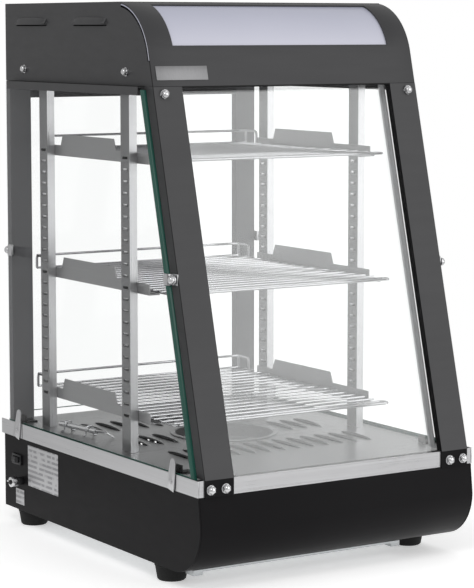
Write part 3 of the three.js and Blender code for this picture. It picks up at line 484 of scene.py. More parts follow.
@dataclass(frozen=True)
class GroundEdge:
    """The ground, dark green edge of a glass pane."""

    name: str
    colour: Colour

    def material(self) -> bpy.types.Material:
        """The edge as a material."""
        g = Graph(self.name)
        at = g.place()
        band = g.noise(at, 18.0, 3.0)
        light = tuple(min(1.0, c * 1.7 + 0.01) for c in self.colour)
        return g.done(
            g.surface(
                Base_Color=g.mix(band, self.colour, light),
                Roughness=band * 0.15 + 0.12,
                Normal=g.bump(g.noise(at, 700.0), 0.00003),
            )
        )


@dataclass(frozen=True)
class OpalAcrylic:
    """Milky acrylic, paler where the lamp behind it is near."""

    name: str
    low: Colour
    high: Colour
    bottom: float
    top: float
    glow: float

    def material(self) -> bpy.types.Material:
        """The acrylic as a material."""
        g = Graph(self.name)
        at = g.place()
        rise = ((g.axis("Z") - self.bottom) * (1 / (self.top - self.bottom))).clamped()
        ripple = g.noise(at, 12.0, 3.0) * 0.14 - 0.07
        colour = g.mix((rise + ripple).clamped(), self.low, self.high)
        return g.done(
            g.surface(
                Base_Color=colour,
                Roughness=g.noise(at, 50.0, 3.0) * 0.12 + 0.26,
                Emission_Color=colour,
                Emission_Strength=self.glow,
                Normal=g.bump(g.noise(at, 260.0), 0.00003),
            )
        )


@dataclass(frozen=True)
class BarredPlate:
    """A printed metal label with rows of soft grey bars and no lettering."""

    name: str
    colour: Colour
    ink: Colour
    pitch: float
    bar: float

    def material(self) -> bpy.types.Material:
        """The label as a material."""
        g = Graph(self.name)
        at = g.place()
        rows = (g.axis("Z") * (1 / self.pitch)).math("FRACT").above(0.5)
        steps = (0.0, 1 / self.bar, 0.31 / self.pitch)
        bars = ((g.noise(g.stretched(steps), 1.0, 1.0) - 0.38) * 9.0).clamped()
        worn = g.noise(at, 160.0, 4.0)
        plate = g.mix(worn, tuple(c * 0.88 for c in self.colour), self.colour)
        return g.done(
            g.surface(
                Base_Color=g.mix(rows * bars * 0.6, plate, self.ink),
                Metallic=0.35,
                Roughness=worn * 0.15 + 0.38,
                Normal=g.bump(g.noise(g.stretched((700.0, 6.0, 700.0)), 1.0), 0.00002),
            )
        )


@dataclass(frozen=True)
class Finishes:
    """Every finish on the case, made once."""

    hood: bpy.types.Material
    post: bpy.types.Material
    base: bpy.types.Material
    steel_x: bpy.types.Material
    steel_y: bpy.types.Material
    steel_z: bpy.types.Material
    steel_dull: bpy.types.Material
    deck: bpy.types.Material
    bracket: bpy.types.Material
    rear_post: bpy.types.Material
    seal: bpy.types.Material
    wire: bpy.types.Material
    nut: bpy.types.Material
    zinc: bpy.types.Material
    plastic: bpy.types.Material
    rubber: bpy.types.Material
    side_pane: bpy.types.Material
    front_pane: bpy.types.Material
    edge: bpy.types.Material
    acrylic: bpy.types.Material
    lamp: bpy.types.Material
    label: bpy.types.Material
    element: bpy.types.Material

    @classmethod
    def make(cls) -> "Finishes":
        """Makes the materials.

        Returns:
            The finishes.
        """
        low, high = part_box("light_diffuser")
        white = (0.9, 0.9, 0.92)
        return cls(
            hood=PowderCoat("hood_paint", (0.03, 0.03, 0.032), 0.46, 0.42).material(),
            post=PowderCoat("post_paint", (0.04, 0.04, 0.042), 0.5, 0.42).material(),
            base=PowderCoat("base_paint", (0.0072, 0.0068, 0.0075), 0.42, 0.06).material(),
            steel_x=Brushed("steel_brushed_across", (0.6, 0.6, 0.61), Grain.ALONG_X).material(),
            steel_y=Brushed("steel_brushed_deep", (0.6, 0.6, 0.61), Grain.ALONG_Y).material(),
            steel_z=Brushed("steel_brushed_upright", (0.56, 0.56, 0.57), Grain.ALONG_Z).material(),
            # Darker steel: the blank badge's own tone, and painted shade on the uprights' broad sides
            # and on the plates under the deck's louvres.
            steel_dull=Brushed("steel_dull", (0.25, 0.25, 0.255), Grain.ALONG_Z, 0.4).material(),
            deck=Brushed("deck_steel", (0.36, 0.36, 0.365), Grain.ALONG_X, 0.3).material(),
            bracket=Brushed("bracket_steel", (0.34, 0.34, 0.345), Grain.ALONG_Y, 0.36).material(),
            rear_post=PowderCoat("rear_post_paint", (0.075, 0.075, 0.08), 0.5, 0.42).material(),
            seal=Moulded("pale_seal", (0.5, 0.5, 0.51), 0.5, 900.0, 2e-5).material(),
            wire=Plated("chromed_wire", (0.6, 0.6, 0.615), 0.2).material(),
            nut=Plated("nickel", (0.74, 0.74, 0.75), 0.2).material(),
            zinc=Galvanised("galvanised", (0.52, 0.54, 0.55)).material(),
            plastic=Moulded("black_moulding", (0.008, 0.008, 0.009), 0.45, 900.0, 3e-5).material(),
            rubber=Moulded("black_rubber", (0.006, 0.006, 0.006), 0.8, 600.0, 6e-5).material(),
            side_pane=Pane("side_pane", 0.004, 0.12).material(),
            front_pane=Pane("front_pane", 0.07, 0.5).material(),
            edge=GroundEdge("glass_edge", (0.003, 0.05, 0.036)).material(),
            acrylic=OpalAcrylic(
                "opal_acrylic", (0.62, 0.62, 0.7), (0.4, 0.41, 0.5), low.z, high.z, 0.06
            ).material(),
            lamp=OpalAcrylic("lamp_glass", white, white, low.z, high.z, 0.8).material(),
            label=BarredPlate(
                "printed_label", (0.52, 0.52, 0.53), (0.14, 0.14, 0.15), 6 * MM, 9 * MM
            ).material(),
            element=Brushed("heater_sheath", (0.2, 0.17, 0.15), Grain.ALONG_Y, 0.45).material(),
        )


# ---- Shaping ----
def publish(
    name: str,
    bm: bmesh.types.BMesh,
    materials: Sequence[bpy.types.Material],
    body: Body | str,
    stands_for: Iterable[str] = (),
    sharp: float = 35.0,
    flat_from: float = math.inf,
) -> bpy.types.Object:
    """Makes a finished mesh an object that rides a body.

    Args:
        name: The piece's name.
        bm: Its mesh, which is freed.
        materials: Its materials, in the order of the faces' indices.
        body: The body that carries it.
        stands_for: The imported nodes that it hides.
        sharp: The angle, in degrees, past which an edge stays sharp.
        flat_from: The area, in square metres, from which a face is shaded flat.

    Returns:
        The object.
    """
    mesh = bpy.data.meshes.new(name)
    bm.to_mesh(mesh)
    bm.free()
    for material in materials:
        mesh.materials.append(material)
    mesh.set_sharp_from_angle(angle=math.radians(sharp))
    mesh.polygons.foreach_set("use_smooth", [p.area < flat_from for p in mesh.polygons])
    piece = bpy.data.objects.new(name, mesh)
    bpy.context.scene.collection.objects.link(piece)
    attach(piece, body.value if isinstance(body, Body) else body)
    nodes = list(stands_for)
    if nodes:
        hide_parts(*nodes)
    LOG.info("%s: %d faces", name, len(mesh.polygons))
    return piece


def soften(bm: bmesh.types.BMesh, width: float, segments: int = 2, angle: float = 40.0) -> None:
    """Rounds a mesh's sharp edges.

    Args:
        bm: The mesh.
        width: How far each round reaches, in metres.
        segments: Steps in the round.
        angle: Edges sharper than this many degrees are rounded.
    """
    limit = math.radians(angle)
    edges = [e for e in bm.edges if len(e.link_faces) == 2 and e.calc_face_angle(0.0) > limit]
    bmesh.ops.bevel(
        bm,
        geom=edges,
        offset=width,
        offset_type="OFFSET",
        segments=segments,
        profile=0.5,
        affect="EDGES",
        clamp_overlap=True,
        material=-1,
    )


def merged(node: str) -> bmesh.types.BMesh:
    """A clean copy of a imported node.

    Args:
        node: The node's name.

    Returns:
        Its mesh with doubles merged and flat faces joined.
    """
    bm = bmesh.new()
    bm.from_mesh(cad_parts[node].data)
    bmesh.ops.remove_doubles(bm, verts=bm.verts, dist=1e-5)
    bmesh.ops.dissolve_limit(
        bm, angle_limit=math.radians(0.5), verts=bm.verts[:], edges=bm.edges[:]
    )
    for face in bm.faces:
        face.material_index = 0
    return bm


def refined(
    node: str,
    material: bpy.types.Material,
    body: Body | str,
    round_mm: float = 0.35,
    segments: int = 2,
) -> bpy.types.Object:
    """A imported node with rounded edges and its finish.

    Args:
        node: The node's name.
        material: Its finish.
        body: The body that carries it.
        round_mm: How far the rounds reach.
        segments: Steps in each round.

    Returns:
        The piece that stands for the node.
    """
    bm = merged(node)
    if round_mm:
        soften(bm, round_mm * MM, segments)
    return publish(node + "_finished", bm, [material], body, [node], flat_from=FLAT_FROM)


def cut(
    bm: bmesh.types.BMesh, at: Sequence[float], normal: Sequence[float], clear: bool = False
) -> None:
    """Cuts a mesh's faces along a plane.

    Args:
        bm: The mesh.
        at: A point of the plane.
        normal: The plane's normal.
        clear: Whether what lies on the normal's side goes.
    """
    geometry = [*bm.verts, *bm.edges, *bm.faces]
    bmesh.ops.bisect_plane(bm, geom=geometry, plane_co=at, plane_no=normal, clear_outer=clear)


def seat(node: str) -> Matrix:
    """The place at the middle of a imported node's underside.

    Args:
        node: The node's name.

    Returns:
        The place.
    """
    low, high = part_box(node)
    return Matrix.Translation(((low.x + high.x) / 2, (low.y + high.y) / 2, low.z))


def block(bm: bmesh.types.BMesh, low: Sequence[float], high: Sequence[float]) -> list[Any]:
    """Adds a block between two corners.

    Args:
        bm: The mesh.
        low: Its lowest corner.
        high: Its highest corner.

    Returns:
        The block's vertices.
    """
    size = [b - a for a, b in zip(low, high)]
    middle = [(a + b) / 2 for a, b in zip(low, high)]
    place = Matrix.Translation(middle) @ Matrix.Diagonal((*size, 1.0))
    return bmesh.ops.create_cube(bm, size=1.0, matrix=place)["verts"]


def rounded_path(points: Sequence[Vector], radius: float, steps: int = 4) -> list[Vector]:
    """A path with round corners.

    Args:
        points: The path's corners and ends.
        radius: How far from each corner the round starts.
        steps: Steps in each round.

    Returns:
        The points of the rounded path.
    """
    path = [points[0].copy()]
    for before, corner, after in zip(points, points[1:], points[2:]):
        start = corner + (before - corner).normalized() * radius
        end = corner + (after - corner).normalized() * radius
        for i in range(steps + 1):
            t = i / steps
            path.append((1 - t) ** 2 * start + 2 * t * (1 - t) * corner + t * t * end)
    return [*path, points[-1].copy()]


def rod(bm: bmesh.types.BMesh, path: Sequence[Vector], radius: float, sides: int = 10) -> None:
    """Draws a round rod along a path and closes its ends.

    Args:
        bm: The mesh.
        path: The points of its middle line.
        radius: Its radius.
        sides: Sides of its section.
    """
    heads = [(b - a).normalized() for a, b in zip(path, path[1:])]
    turn = Vector((0, 0, 1)).rotation_difference(heads[0]).to_matrix().to_4x4()
    ring = bmesh.ops.create_circle(
        bm,
        cap_ends=False,
        segments=sides,
        radius=radius,
        matrix=Matrix.Translation(path[0]) @ turn,
    )["verts"]
    first = list({e for v in ring for e in v.link_edges})
    edges = first
    for i in range(1, len(path)):
        grown = bmesh.ops.extrude_edge_only(bm, edges=edges)["geom"]
        verts = [g for g in grown if isinstance(g, bmesh.types.BMVert)]
        edges = [g for g in grown if isinstance(g, bmesh.types.BMEdge)]
        bmesh.ops.translate(bm, verts=verts, vec=path[i] - path[i - 1])
        if i < len(heads):
            halfway = heads[i - 1].rotation_difference((heads[i - 1] + heads[i]).normalized())
            if i > 1:
                previous = (heads[i - 2] + heads[i - 1]).normalized()
                halfway = previous.rotation_difference((heads[i - 1] + heads[i]).normalized())
            bmesh.ops.rotate(bm, verts=verts, cent=path[i], matrix=halfway.to_matrix())
        elif len(heads) > 1:
            previous = (heads[-2] + heads[-1]).normalized()
            last = previous.rotation_difference(heads[-1])
            bmesh.ops.rotate(bm, verts=verts, cent=path[i], matrix=last.to_matrix())
    bmesh.ops.edgeloop_fill(bm, edges=first)
    bmesh.ops.edgeloop_fill(bm, edges=edges)


def spun(
    bm: bmesh.types.BMesh,
    profile: Sequence[tuple[float, float]],
    steps: int,
    place: Matrix,
) -> None:
    """Spins a profile about its own Z axis and moves it into place.

    Args:
        bm: The mesh.
        profile: Pairs of radius and height that start and end on the axis.
        steps: Steps in the full turn.
        place: Where the piece goes.
    """
    part = bmesh.new()
    verts = [part.verts.new((r, 0.0, z)) for r, z in profile]
    edges = [part.edges.new(pair) for pair in zip(verts, verts[1:])]
    bmesh.ops.spin(
        part,
        geom=[*verts, *edges],
        cent=(0, 0, 0),
        axis=(0, 0, 1),
        angle=math.tau,
        steps=steps,
        use_merge=True,
        use_duplicate=False,
    )
    bmesh.ops.remove_doubles(part, verts=part.verts, dist=1e-6)
    bmesh.ops.recalc_face_normals(part, faces=part.faces)
    bmesh.ops.transform(part, matrix=place, verts=part.verts)
    absorb(bm, part)


def absorb(bm: bmesh.types.BMesh, part: bmesh.types.BMesh) -> None:
    """Adds one mesh to another and frees it.

    Args:
        bm: The mesh that grows.
        part: The mesh that is added.
    """
    carrier = bpy.data.meshes.new("carrier")
    part.to_mesh(carrier)
    part.free()
    bm.from_mesh(carrier)
    bpy.data.meshes.remove(carrier)


def facing(direction: Sequence[float], at: Sequence[float]) -> Matrix:
    """A place whose own Z axis points in a direction.

    Args:
        direction: Where Z points.
        at: The place's origin.

    Returns:
        The matrix.
    """
    turn = Vector((0, 0, 1)).rotation_difference(Vector(direction)).to_matrix().to_4x4()
    return Matrix.Translation(Vector(at)) @ turn


@dataclass
class SheetBender:
    """Bends a sheet from a side profile, as a press brake does."""

    bm: bmesh.types.BMesh = field(default_factory=bmesh.new)
    edges: list[Any] = field(default_factory=list)
    tip: Any = None

    def start(self, y: float, z: float) -> "SheetBender":
        """Sets the profile's first point."""
        self.tip = self.bm.verts.new((0.0, y, z))
        return self

    def run_to(self, y: float, z: float) -> "SheetBender":
        """Runs straight to a point."""
        grown = bmesh.ops.extrude_vert_indiv(self.bm, verts=[self.tip])
        self.edges += grown["edges"]
        self.tip = grown["verts"][0]
        self.tip.co = (0.0, y, z)
        return self

    def bend(self, y: float, z: float, degrees: float, steps: int) -> "SheetBender":
        """Bends about a line along X.

        Args:
            y: The line's Y.
            z: The line's Z.
            degrees: How far, clockwise seen from the left.
            steps: Steps in the bend.

        Returns:
            The bender.
        """
        before = set(self.bm.edges)
        made = bmesh.ops.spin(
            self.bm,
            geom=[self.tip],
            cent=(0.0, y, z),
            axis=(1, 0, 0),
            angle=math.radians(degrees),
            steps=steps,
            use_duplicate=False,
        )
        self.edges += [e for e in self.bm.edges if e not in before]
        self.tip = next(g for g in made["geom_last"] if isinstance(g, bmesh.types.BMVert))
        return self

    def across(self, *places: float) -> "SheetBender":
        """Draws the profile out along X through the given places."""
        bmesh.ops.translate(self.bm, verts=self.bm.verts[:], vec=(places[0], 0, 0))
        edges = self.edges
        for before, after in zip(places, places[1:]):
            grown = bmesh.ops.extrude_edge_only(self.bm, edges=edges)["geom"]
            verts = [g for g in grown if isinstance(g, bmesh.types.BMVert)]
            edges = [g for g in grown if isinstance(g, bmesh.types.BMEdge)]
            edges = [e for e in edges if all(v in verts for v in e.verts)]
            bmesh.ops.translate(self.bm, verts=verts, vec=(after - before, 0, 0))
        return self

    def window(self, x0: float, x1: float, z0: float, z1: float) -> "SheetBender":
        """Cuts out the faces whose middles lie within a rectangle seen from the front."""
        inside = [
            f
            for f in self.bm.faces
            if x0 < f.calc_center_median().x < x1 and z0 < f.calc_center_median().z < z1
        ]
        bmesh.ops.delete(self.bm, geom=inside, context="FACES")
        return self

    def thicken(self, thickness: float, inwards: Sequence[float]) -> bmesh.types.BMesh:
        """Gives the sheet its thickness.

        Args:
            thickness: The sheet's thickness.
            inwards: A point on the side that the thickness goes to.

        Returns:
            The finished mesh.
        """
        bm = self.bm
        bmesh.ops.recalc_face_normals(bm, faces=bm.faces)
        probe = max(bm.faces, key=lambda f: f.calc_area())
        towards = (Vector(inwards) - probe.calc_center_median()).dot(probe.normal)
        if towards > 0:
            bmesh.ops.reverse_faces(bm, faces=bm.faces[:])
        bmesh.ops.solidify(bm, geom=bm.faces[:], thickness=thickness)
        bmesh.ops.recalc_face_normals(bm, faces=bm.faces[:])
        return bm


def acorn_nut(bm: bmesh.types.BMesh, at: Sequence[float], out: Sequence[float], size: float) -> None:
    """Adds a domed nut on its washer.

    Args:
        bm: The mesh.
        at: The middle of its seat.
        out: The direction it points.
        size: Its width across the flats, in metres.
    """
    place = facing(out, at)
    half = size / 2
    washer = 0.1 * size
    spun(bm, [(0, 0), (half * 1.25, 0), (half * 1.25, washer), (0, washer)], 20, place)
    hexagon = bmesh.new()
    bmesh.ops.create_cone(
        hexagon,
        cap_ends=True,
        segments=6,
        radius1=half * 1.15,
        radius2=half * 1.15,
        depth=size * 0.35,
        matrix=Matrix.Translation((0, 0, washer + size * 0.175)),
    )
    soften(hexagon, 0.06 * size)
    bmesh.ops.transform(hexagon, matrix=place, verts=hexagon.verts)
    absorb(bm, hexagon)
    top = washer + size * 0.35
    dome = [(0, top - size * 0.05), (half * 0.92, top - size * 0.05), (half * 0.92, top)]
    rise = size * 0.3
    for i in range(1, 8):
        angle = i / 8 * math.pi / 2
        dome.append((half * 0.92 * math.cos(angle), top + rise * math.sin(angle)))
    spun(bm, [*dome, (0, top + rise)], 20, place)


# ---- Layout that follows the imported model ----
@dataclass(frozen=True)
class Layout:
    """Planes and levels of the case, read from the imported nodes."""

    frame_depth: float = 443.2 * MM
    lean: float = 0.25684
    hood_radius: float = 71 * MM
    cover_short: float = 9 * MM

    @property
    def centre_x(self) -> float:
        """The middle of the frame."""
        return (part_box("rear_post_left")[0].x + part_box("glass_channel_right")[0].x) / 2 - 0.15 * MM

    @property
    def rear(self) -> float:
        """The frame's rear plane."""
        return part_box("rear_top_rail")[1].y

    @property
    def centre_y(self) -> float:
        """Half-way through the frame's depth."""
        return self.rear - self.frame_depth / 2

    @property
    def half_width(self) -> float:
        """From the middle to the posts' outer faces."""
        return self.centre_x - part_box("rear_post_left")[0].x

    @property
    def deck_top(self) -> float:
        """The deck's level."""
        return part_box("deck")[1].z

    def side_x(self, side: Side, inset: float = 0.0) -> float:
        """A plane inside a post's outer face.

        Args:
            side: The side of the case.
            inset: How far towards the middle it lies.

        Returns:
            Its X.
        """
        return self.centre_x + side.value * (self.half_width - inset)

    def post_front(self, z: float) -> float:
        """The posts' front face at a level.

        Args:
            z: The level.

        Returns:
            Its Y.
        """
        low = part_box("hood_front_cover")[0]
        return low.y + self.lean * (z - low.z)


# ---- Studio ----
@dataclass
class Studio:
    """Floor, lights, sky and camera."""

    layout: Layout
    camera_from_frame: tuple[float, float, float] = (-1344.94 * MM, -2152.49 * MM, 582.80 * MM)
    yaw: float = 32.191
    pitch: float = 6.759
    lens: float = 137.74
    sky_level: float = 0.6
    floor_near: float = 0.3
    floor_far: float = 0.7
    floor_lift: float = 0.4

    def camera(self) -> None:
        """Sets up the camera at the front left."""
        data = bpy.data.cameras.new("camera")
        data.lens = self.lens
        data.sensor_width = 36.0
        data.clip_end = 100.0
        camera = bpy.data.objects.new("camera", data)
        x, y, z = self.camera_from_frame
        camera.location = (x + self.layout.centre_x, y + self.layout.centre_y, z)
        camera.rotation_euler = (math.radians(90 - self.pitch), 0.0, math.radians(-self.yaw))
        bpy.context.scene.collection.objects.link(camera)
        bpy.context.scene.camera = camera

    def lamp(
        self, name: str, at: Sequence[float], to: Sequence[float], size: float, power: float
    ) -> None:
        """Adds a soft square lamp.

        Args:
            name: Its name.
            at: Where it stands.
            to: What it points at.
            size: Its side, in metres.
            power: Its power, in watts.
        """
        data = bpy.data.lights.new(name, "AREA")
        data.shape = "SQUARE"
        data.size = size
        data.energy = power
        light = bpy.data.objects.new(name, data)
        light.location = at
        aim = Vector(to) - Vector(at)
        light.rotation_euler = aim.to_track_quat("-Z", "Y").to_euler()
        bpy.context.scene.collection.objects.link(light)

    def floor(self) -> None:
        """Lays a pale floor that fades into the white surround."""
        bm = bmesh.new()
        bmesh.ops.create_grid(bm, x_segments=1, y_segments=1, size=6.0)
        mesh = bpy.data.meshes.new("floor")
        bm.to_mesh(mesh)
        bm.free()
        g = Graph("pale_floor")
        tone = g.mix(g.noise(g.place(), 0.8), (0.95, 0.95, 0.95), (0.97, 0.97, 0.97))
        away = g.node("ShaderNodeVectorMath", {"operation": "LENGTH"}, {0: g.place()}, "Value")
        fade = ((away - self.floor_near) * (1 / (self.floor_far - self.floor_near))).clamped()
        pale = g.surface(
            Base_Color=tone,
            Roughness=0.9,
            Specular_IOR_Level=0.0,
            Emission_Color=(1.0, 1.0, 1.0),
            Emission_Strength=self.floor_lift,
        )
        clear = g.node("ShaderNodeBsdfTransparent")
        mesh.materials.append(
            g.done(g.node("ShaderNodeMixShader", {}, {0: fade, 1: pale, 2: clear}))
        )
        plane = bpy.data.objects.new("floor", mesh)
        bpy.context.scene.collection.objects.link(plane)

    def sky(self) -> None:
        """Surrounds the case with even light behind a white backdrop."""
        world = bpy.data.worlds.new("studio")
        world.use_nodes = True
        tree = world.node_tree
        background = tree.nodes["Background"]
        background.inputs["Color"].default_value = (1.0, 1.0, 1.0, 1.0)
        seen = tree.nodes.new("ShaderNodeLightPath").outputs["Is Camera Ray"]
        level = tree.nodes.new("ShaderNodeMath")
        level.operation = "MULTIPLY_ADD"
        level.inputs[1].default_value = 1.0 - self.sky_level
        level.inputs[2].default_value = self.sky_level
        tree.links.new(seen, level.inputs[0])
        tree.links.new(level.outputs[0], background.inputs["Strength"])
        bpy.context.scene.world = world
        bpy.context.scene.view_settings.view_transform = "Standard"

    def build(self) -> None:
        """Builds the studio."""
        self.camera()
        self.floor()
        self.sky()
        middle = (0.0, 0.0, 0.3)
        self.lamp("key", (-1.6, -1.4, 2.2), middle, 1.2, 18.0)
        self.lamp("front_softbox", (1.3, -2.2, 1.0), middle, 2.4, 22.0)


# ---- Base ----
@dataclass
class BaseUnit:
    """The heated base with its feet, trim band, deck and water pan."""

    layout: Layout
    looks: Finishes
    curve_radius: float = 53 * MM
    sheet: float = 1.5 * MM
    louvre_length: float = 60 * MM
    louvre_width: float = 9 * MM
    louvre_rise: float = 3.2 * MM
    louvre_pitch: float = 19.3 * MM
    louvre_rows: float = 100 * MM
    louvre_reach: float = 122.8 * MM
    pan_offset: float = 12 * MM
    pan_clear: float = 71 * MM
    strip_hem: float = 1.4 * MM

    def front(self) -> None:
        """Bends the front sheet round the base's lower edge."""
        low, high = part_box("base_front")
        top_front = self.layout.centre_y - self.layout.frame_depth / 2
        centre = (low.y + self.curve_radius, low.z + self.curve_radius)
        sheet = SheetBender().start(top_front + 8.5 * MM, high.z).run_to(top_front, high.z)
        sheet.run_to(top_front, high.z - 4 * MM).run_to(low.y, centre[1])
        sheet.bend(centre[0], centre[1], 90, 18).run_to(high.y, low.z)
        sheet.across(low.x, high.x)
        bm = sheet.thicken(self.sheet, (0.0, high.y, centre[1] + 20 * MM))
        soften(bm, 0.4 * MM)
        publish(
            "base_front_sheet", bm, [self.looks.base], Body.CASE, ["base_front"]
        )

    def strip(self) -> None:
        """Hangs the strip under the base a little lower than its blocks' seat."""
        bm = merged("under_strip")
        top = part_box("under_strip")[1].z
        for vert in bm.verts:
            if top - 2 * MM < vert.co.z < top - 1 * MM:
                vert.co.z -= self.strip_hem
        soften(bm, 0.4 * MM)
        publish(
            "under_strip_hemmed", bm, [self.looks.zinc], Body.CASE, ["under_strip"]
        )

    def feet(self) -> None:
        """Turns four rubber feet with a stepped rim and a screw recess."""
        for end in ("front", "rear"):
            for side in ("left", "right"):
                node = f"foot_{end}_{side}"
                low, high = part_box(node)
                top, height = (high.x - low.x) / 2, high.z - low.z
                foot = top - 3 * MM
                profile = [
                    (0, 4 * MM),
                    (6 * MM, 4 * MM),
                    (6.5 * MM, 0.6 * MM),
                    (7.5 * MM, 0.0),
                    (foot - 1.5 * MM, 0.0),
                    (foot, 1.5 * MM),
                    (top - 0.8 * MM, height - 4.2 * MM),
                    (top - 0.8 * MM, height - 3.4 * MM),
                    (top, height - 2.8 * MM),
                    (top, height - 0.6 * MM),
                    (top - 0.6 * MM, height),
                    (0, height),
                ]
                bm = bmesh.new()
                spun(bm, profile, 48, seat(node))
                publish(
                    node + "_turned", bm, [self.looks.rubber], Body.CASE, [node]
                )

    def louvre_places(self) -> list[tuple[float, float]]:
        """Where the deck's louvres are, as pairs of X and Y."""
        places = []
        half = int(self.louvre_reach // self.louvre_pitch)
        middle = self.layout.centre_y + self.pan_offset
        for row in (-1, 0, 1):
            for i in range(-half, half + 1):
                x = i * self.louvre_pitch
                if row or abs(x) > self.pan_clear:
                    places.append((self.layout.centre_x + x, middle + row * self.louvre_rows))
        return places

    def deck(self) -> None:
        """Presses a raised lip beside each louvre slot of the deck."""
        refined("deck", self.looks.deck, Body.CASE, 0.0)
        top = self.layout.deck_top
        bm = bmesh.new()
        for x, y in self.louvre_places():
            lip = bmesh.new()
            bmesh.ops.create_uvsphere(lip, u_segments=20, v_segments=12, radius=1.0)
            size = (self.louvre_width * 0.62, self.louvre_length / 2, self.louvre_rise)
            bmesh.ops.scale(lip, vec=size, verts=lip.verts)
            for normal in ((0, 0, -1), (-1, 0, 0)):
                cut(lip, (0, 0, 0), normal, clear=True)
            bmesh.ops.recalc_face_normals(lip, faces=lip.faces)
            if sum(f.normal.z for f in lip.faces) < 0:
                bmesh.ops.reverse_faces(lip, faces=lip.faces[:])
            bmesh.ops.solidify(lip, geom=lip.faces[:], thickness=0.7 * MM)
            bmesh.ops.translate(lip, verts=lip.verts, vec=(x - 1.0 * MM, y, top))
            absorb(bm, lip)
        publish("deck_louvres", bm, [self.looks.deck], Body.CASE)
        # A grey plate under each louvre slot stands in for the dim inside of the base seen through it:
        # painted shade.
        shade_plates = bmesh.new()
        for x, y in self.louvre_places():
            half = (self.louvre_width / 2 - 0.6 * MM, self.louvre_length / 2 - 4 * MM)
            low = (x - half[0], y - half[1], top - 3.2 * MM)
            block(shade_plates, low, (x + half[0], y + half[1], top - 2.6 * MM))
        publish("louvre_shade_plates", shade_plates, [self.looks.steel_dull], Body.CASE)

    def pan(self) -> None:
        """Turns the water pan with a rolled rim."""
        low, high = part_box("water_pan")
        rim = (high.x - low.x) / 2
        wall, depth, sheet = rim - 5 * MM, high.z - low.z, 1.0 * MM
        profile = [
            (0, 0),
            (wall - 8 * MM, 0),
            (wall - 3 * MM, 1.2 * MM),
            (wall, 5 * MM),
            (wall, depth - 1.4 * MM),
            (rim - 0.6 * MM, depth - 1.2 * MM),
            (rim, depth - 0.7 * MM),
            (rim - 0.5 * MM, depth),
            (wall + 0.4 * MM, depth),
            (wall - sheet, depth - 1.2 * MM),
            (wall - sheet, 5.5 * MM),
            (wall - 4 * MM, 2.4 * MM),
            (wall - 8.5 * MM, sheet),
            (0, sheet),
        ]
        bm = bmesh.new()
        spun(bm, profile, 72, seat("water_pan"))
        publish("water_pan_turned", bm, [self.looks.deck], Body.PAN, ["water_pan"])

    def sensor(self) -> None:
        """Lays a heat sensor in two clips at the left of the deck."""
        x0 = self.layout.centre_x - 150 * MM
        y0, y1 = self.layout.centre_y + 60 * MM, self.layout.centre_y + 128 * MM
        z = self.layout.deck_top + 7 * MM
        bulb = bmesh.new()
        lean = 10 * MM
        start, end = Vector((x0, y1, z)), Vector((x0 + lean, y0, z))
        rod(bulb, [start, end], 3.2 * MM, 16)
        tail = [
            end,
            end + Vector((4 * MM, -10 * MM, 1 * MM)),
            end + Vector((14 * MM, -14 * MM, -6 * MM)),
        ]
        rod(bulb, rounded_path(tail, 4 * MM), 1.1 * MM, 8)
        publish("heat_sensor", bulb, [self.looks.nut], Body.CASE)
        clips = bmesh.new()
        for t in (0.2, 0.8):
            at = start.lerp(end, t)
            foot, head = self.layout.deck_top + 0.5 * MM, z + 4.4 * MM
            half = ((-9, foot), (-4.6, foot), (-4.6, head))
            line = (*half, *((-x, level) for x, level in reversed(half)))
            hoop = [Vector((at.x + x * MM, at.y, level)) for x, level in line]
            rod(clips, rounded_path(hoop, 2.4 * MM), 0.8 * MM, 8)
        publish("sensor_clips", clips, [self.looks.wire], Body.CASE)

    def band_joints(self) -> None:
        """Marks the joints in the trim band beside the turn buttons."""
        bm = bmesh.new()
        for side in Side:
            low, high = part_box(f"band_{side.name.lower()}")
            face = low.x if side is Side.LEFT else high.x
            for y0 in (174 * MM, -178 * MM):
                y = self.layout.centre_y + y0
                x0, x1 = face - 0.1 * MM, face + 0.1 * MM
                block(bm, (x0, y, low.z + 0.5 * MM), (x1, y + 0.9 * MM, high.z - 0.5 * MM))
        publish("band_joints", bm, [self.looks.rubber], Body.CASE)

    def labels(self) -> None:
        """Sticks two blank labels on the base's left side."""
        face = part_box("base_side_left")[0].x
        rear = self.layout.centre_y
        plates = (("large", 86, 161, 52, 100), ("small", 172, 193, 26, 44))
        for name, y0, y1, z0, z1 in plates:
            bm = bmesh.new()
            block(bm, (face - 0.45 * MM, rear + y0 * MM, z0 * MM), (face, rear + y1 * MM, z1 * MM))
            soften(bm, 0.15 * MM)
            publish(f"label_{name}", bm, [self.looks.label], Body.CASE)

    def build(self) -> None:
        """Builds the base."""
        looks = self.looks
        for side in ("left", "right"):
            refined(f"base_side_{side}", looks.base, Body.CASE, 0.4)
            refined(f"band_{side}", looks.steel_y, Body.CASE, 0.3)
        refined("band_front", looks.steel_x, Body.CASE, 0.3)
        refined("base_bottom", looks.zinc, Body.CASE, 0.4)
        refined("base_rear", looks.base, Body.CASE, 0.3)
        self.strip()
        self.front()
        self.feet()
        self.deck()
        self.pan()
        self.sensor()
        self.band_joints()
        self.labels()


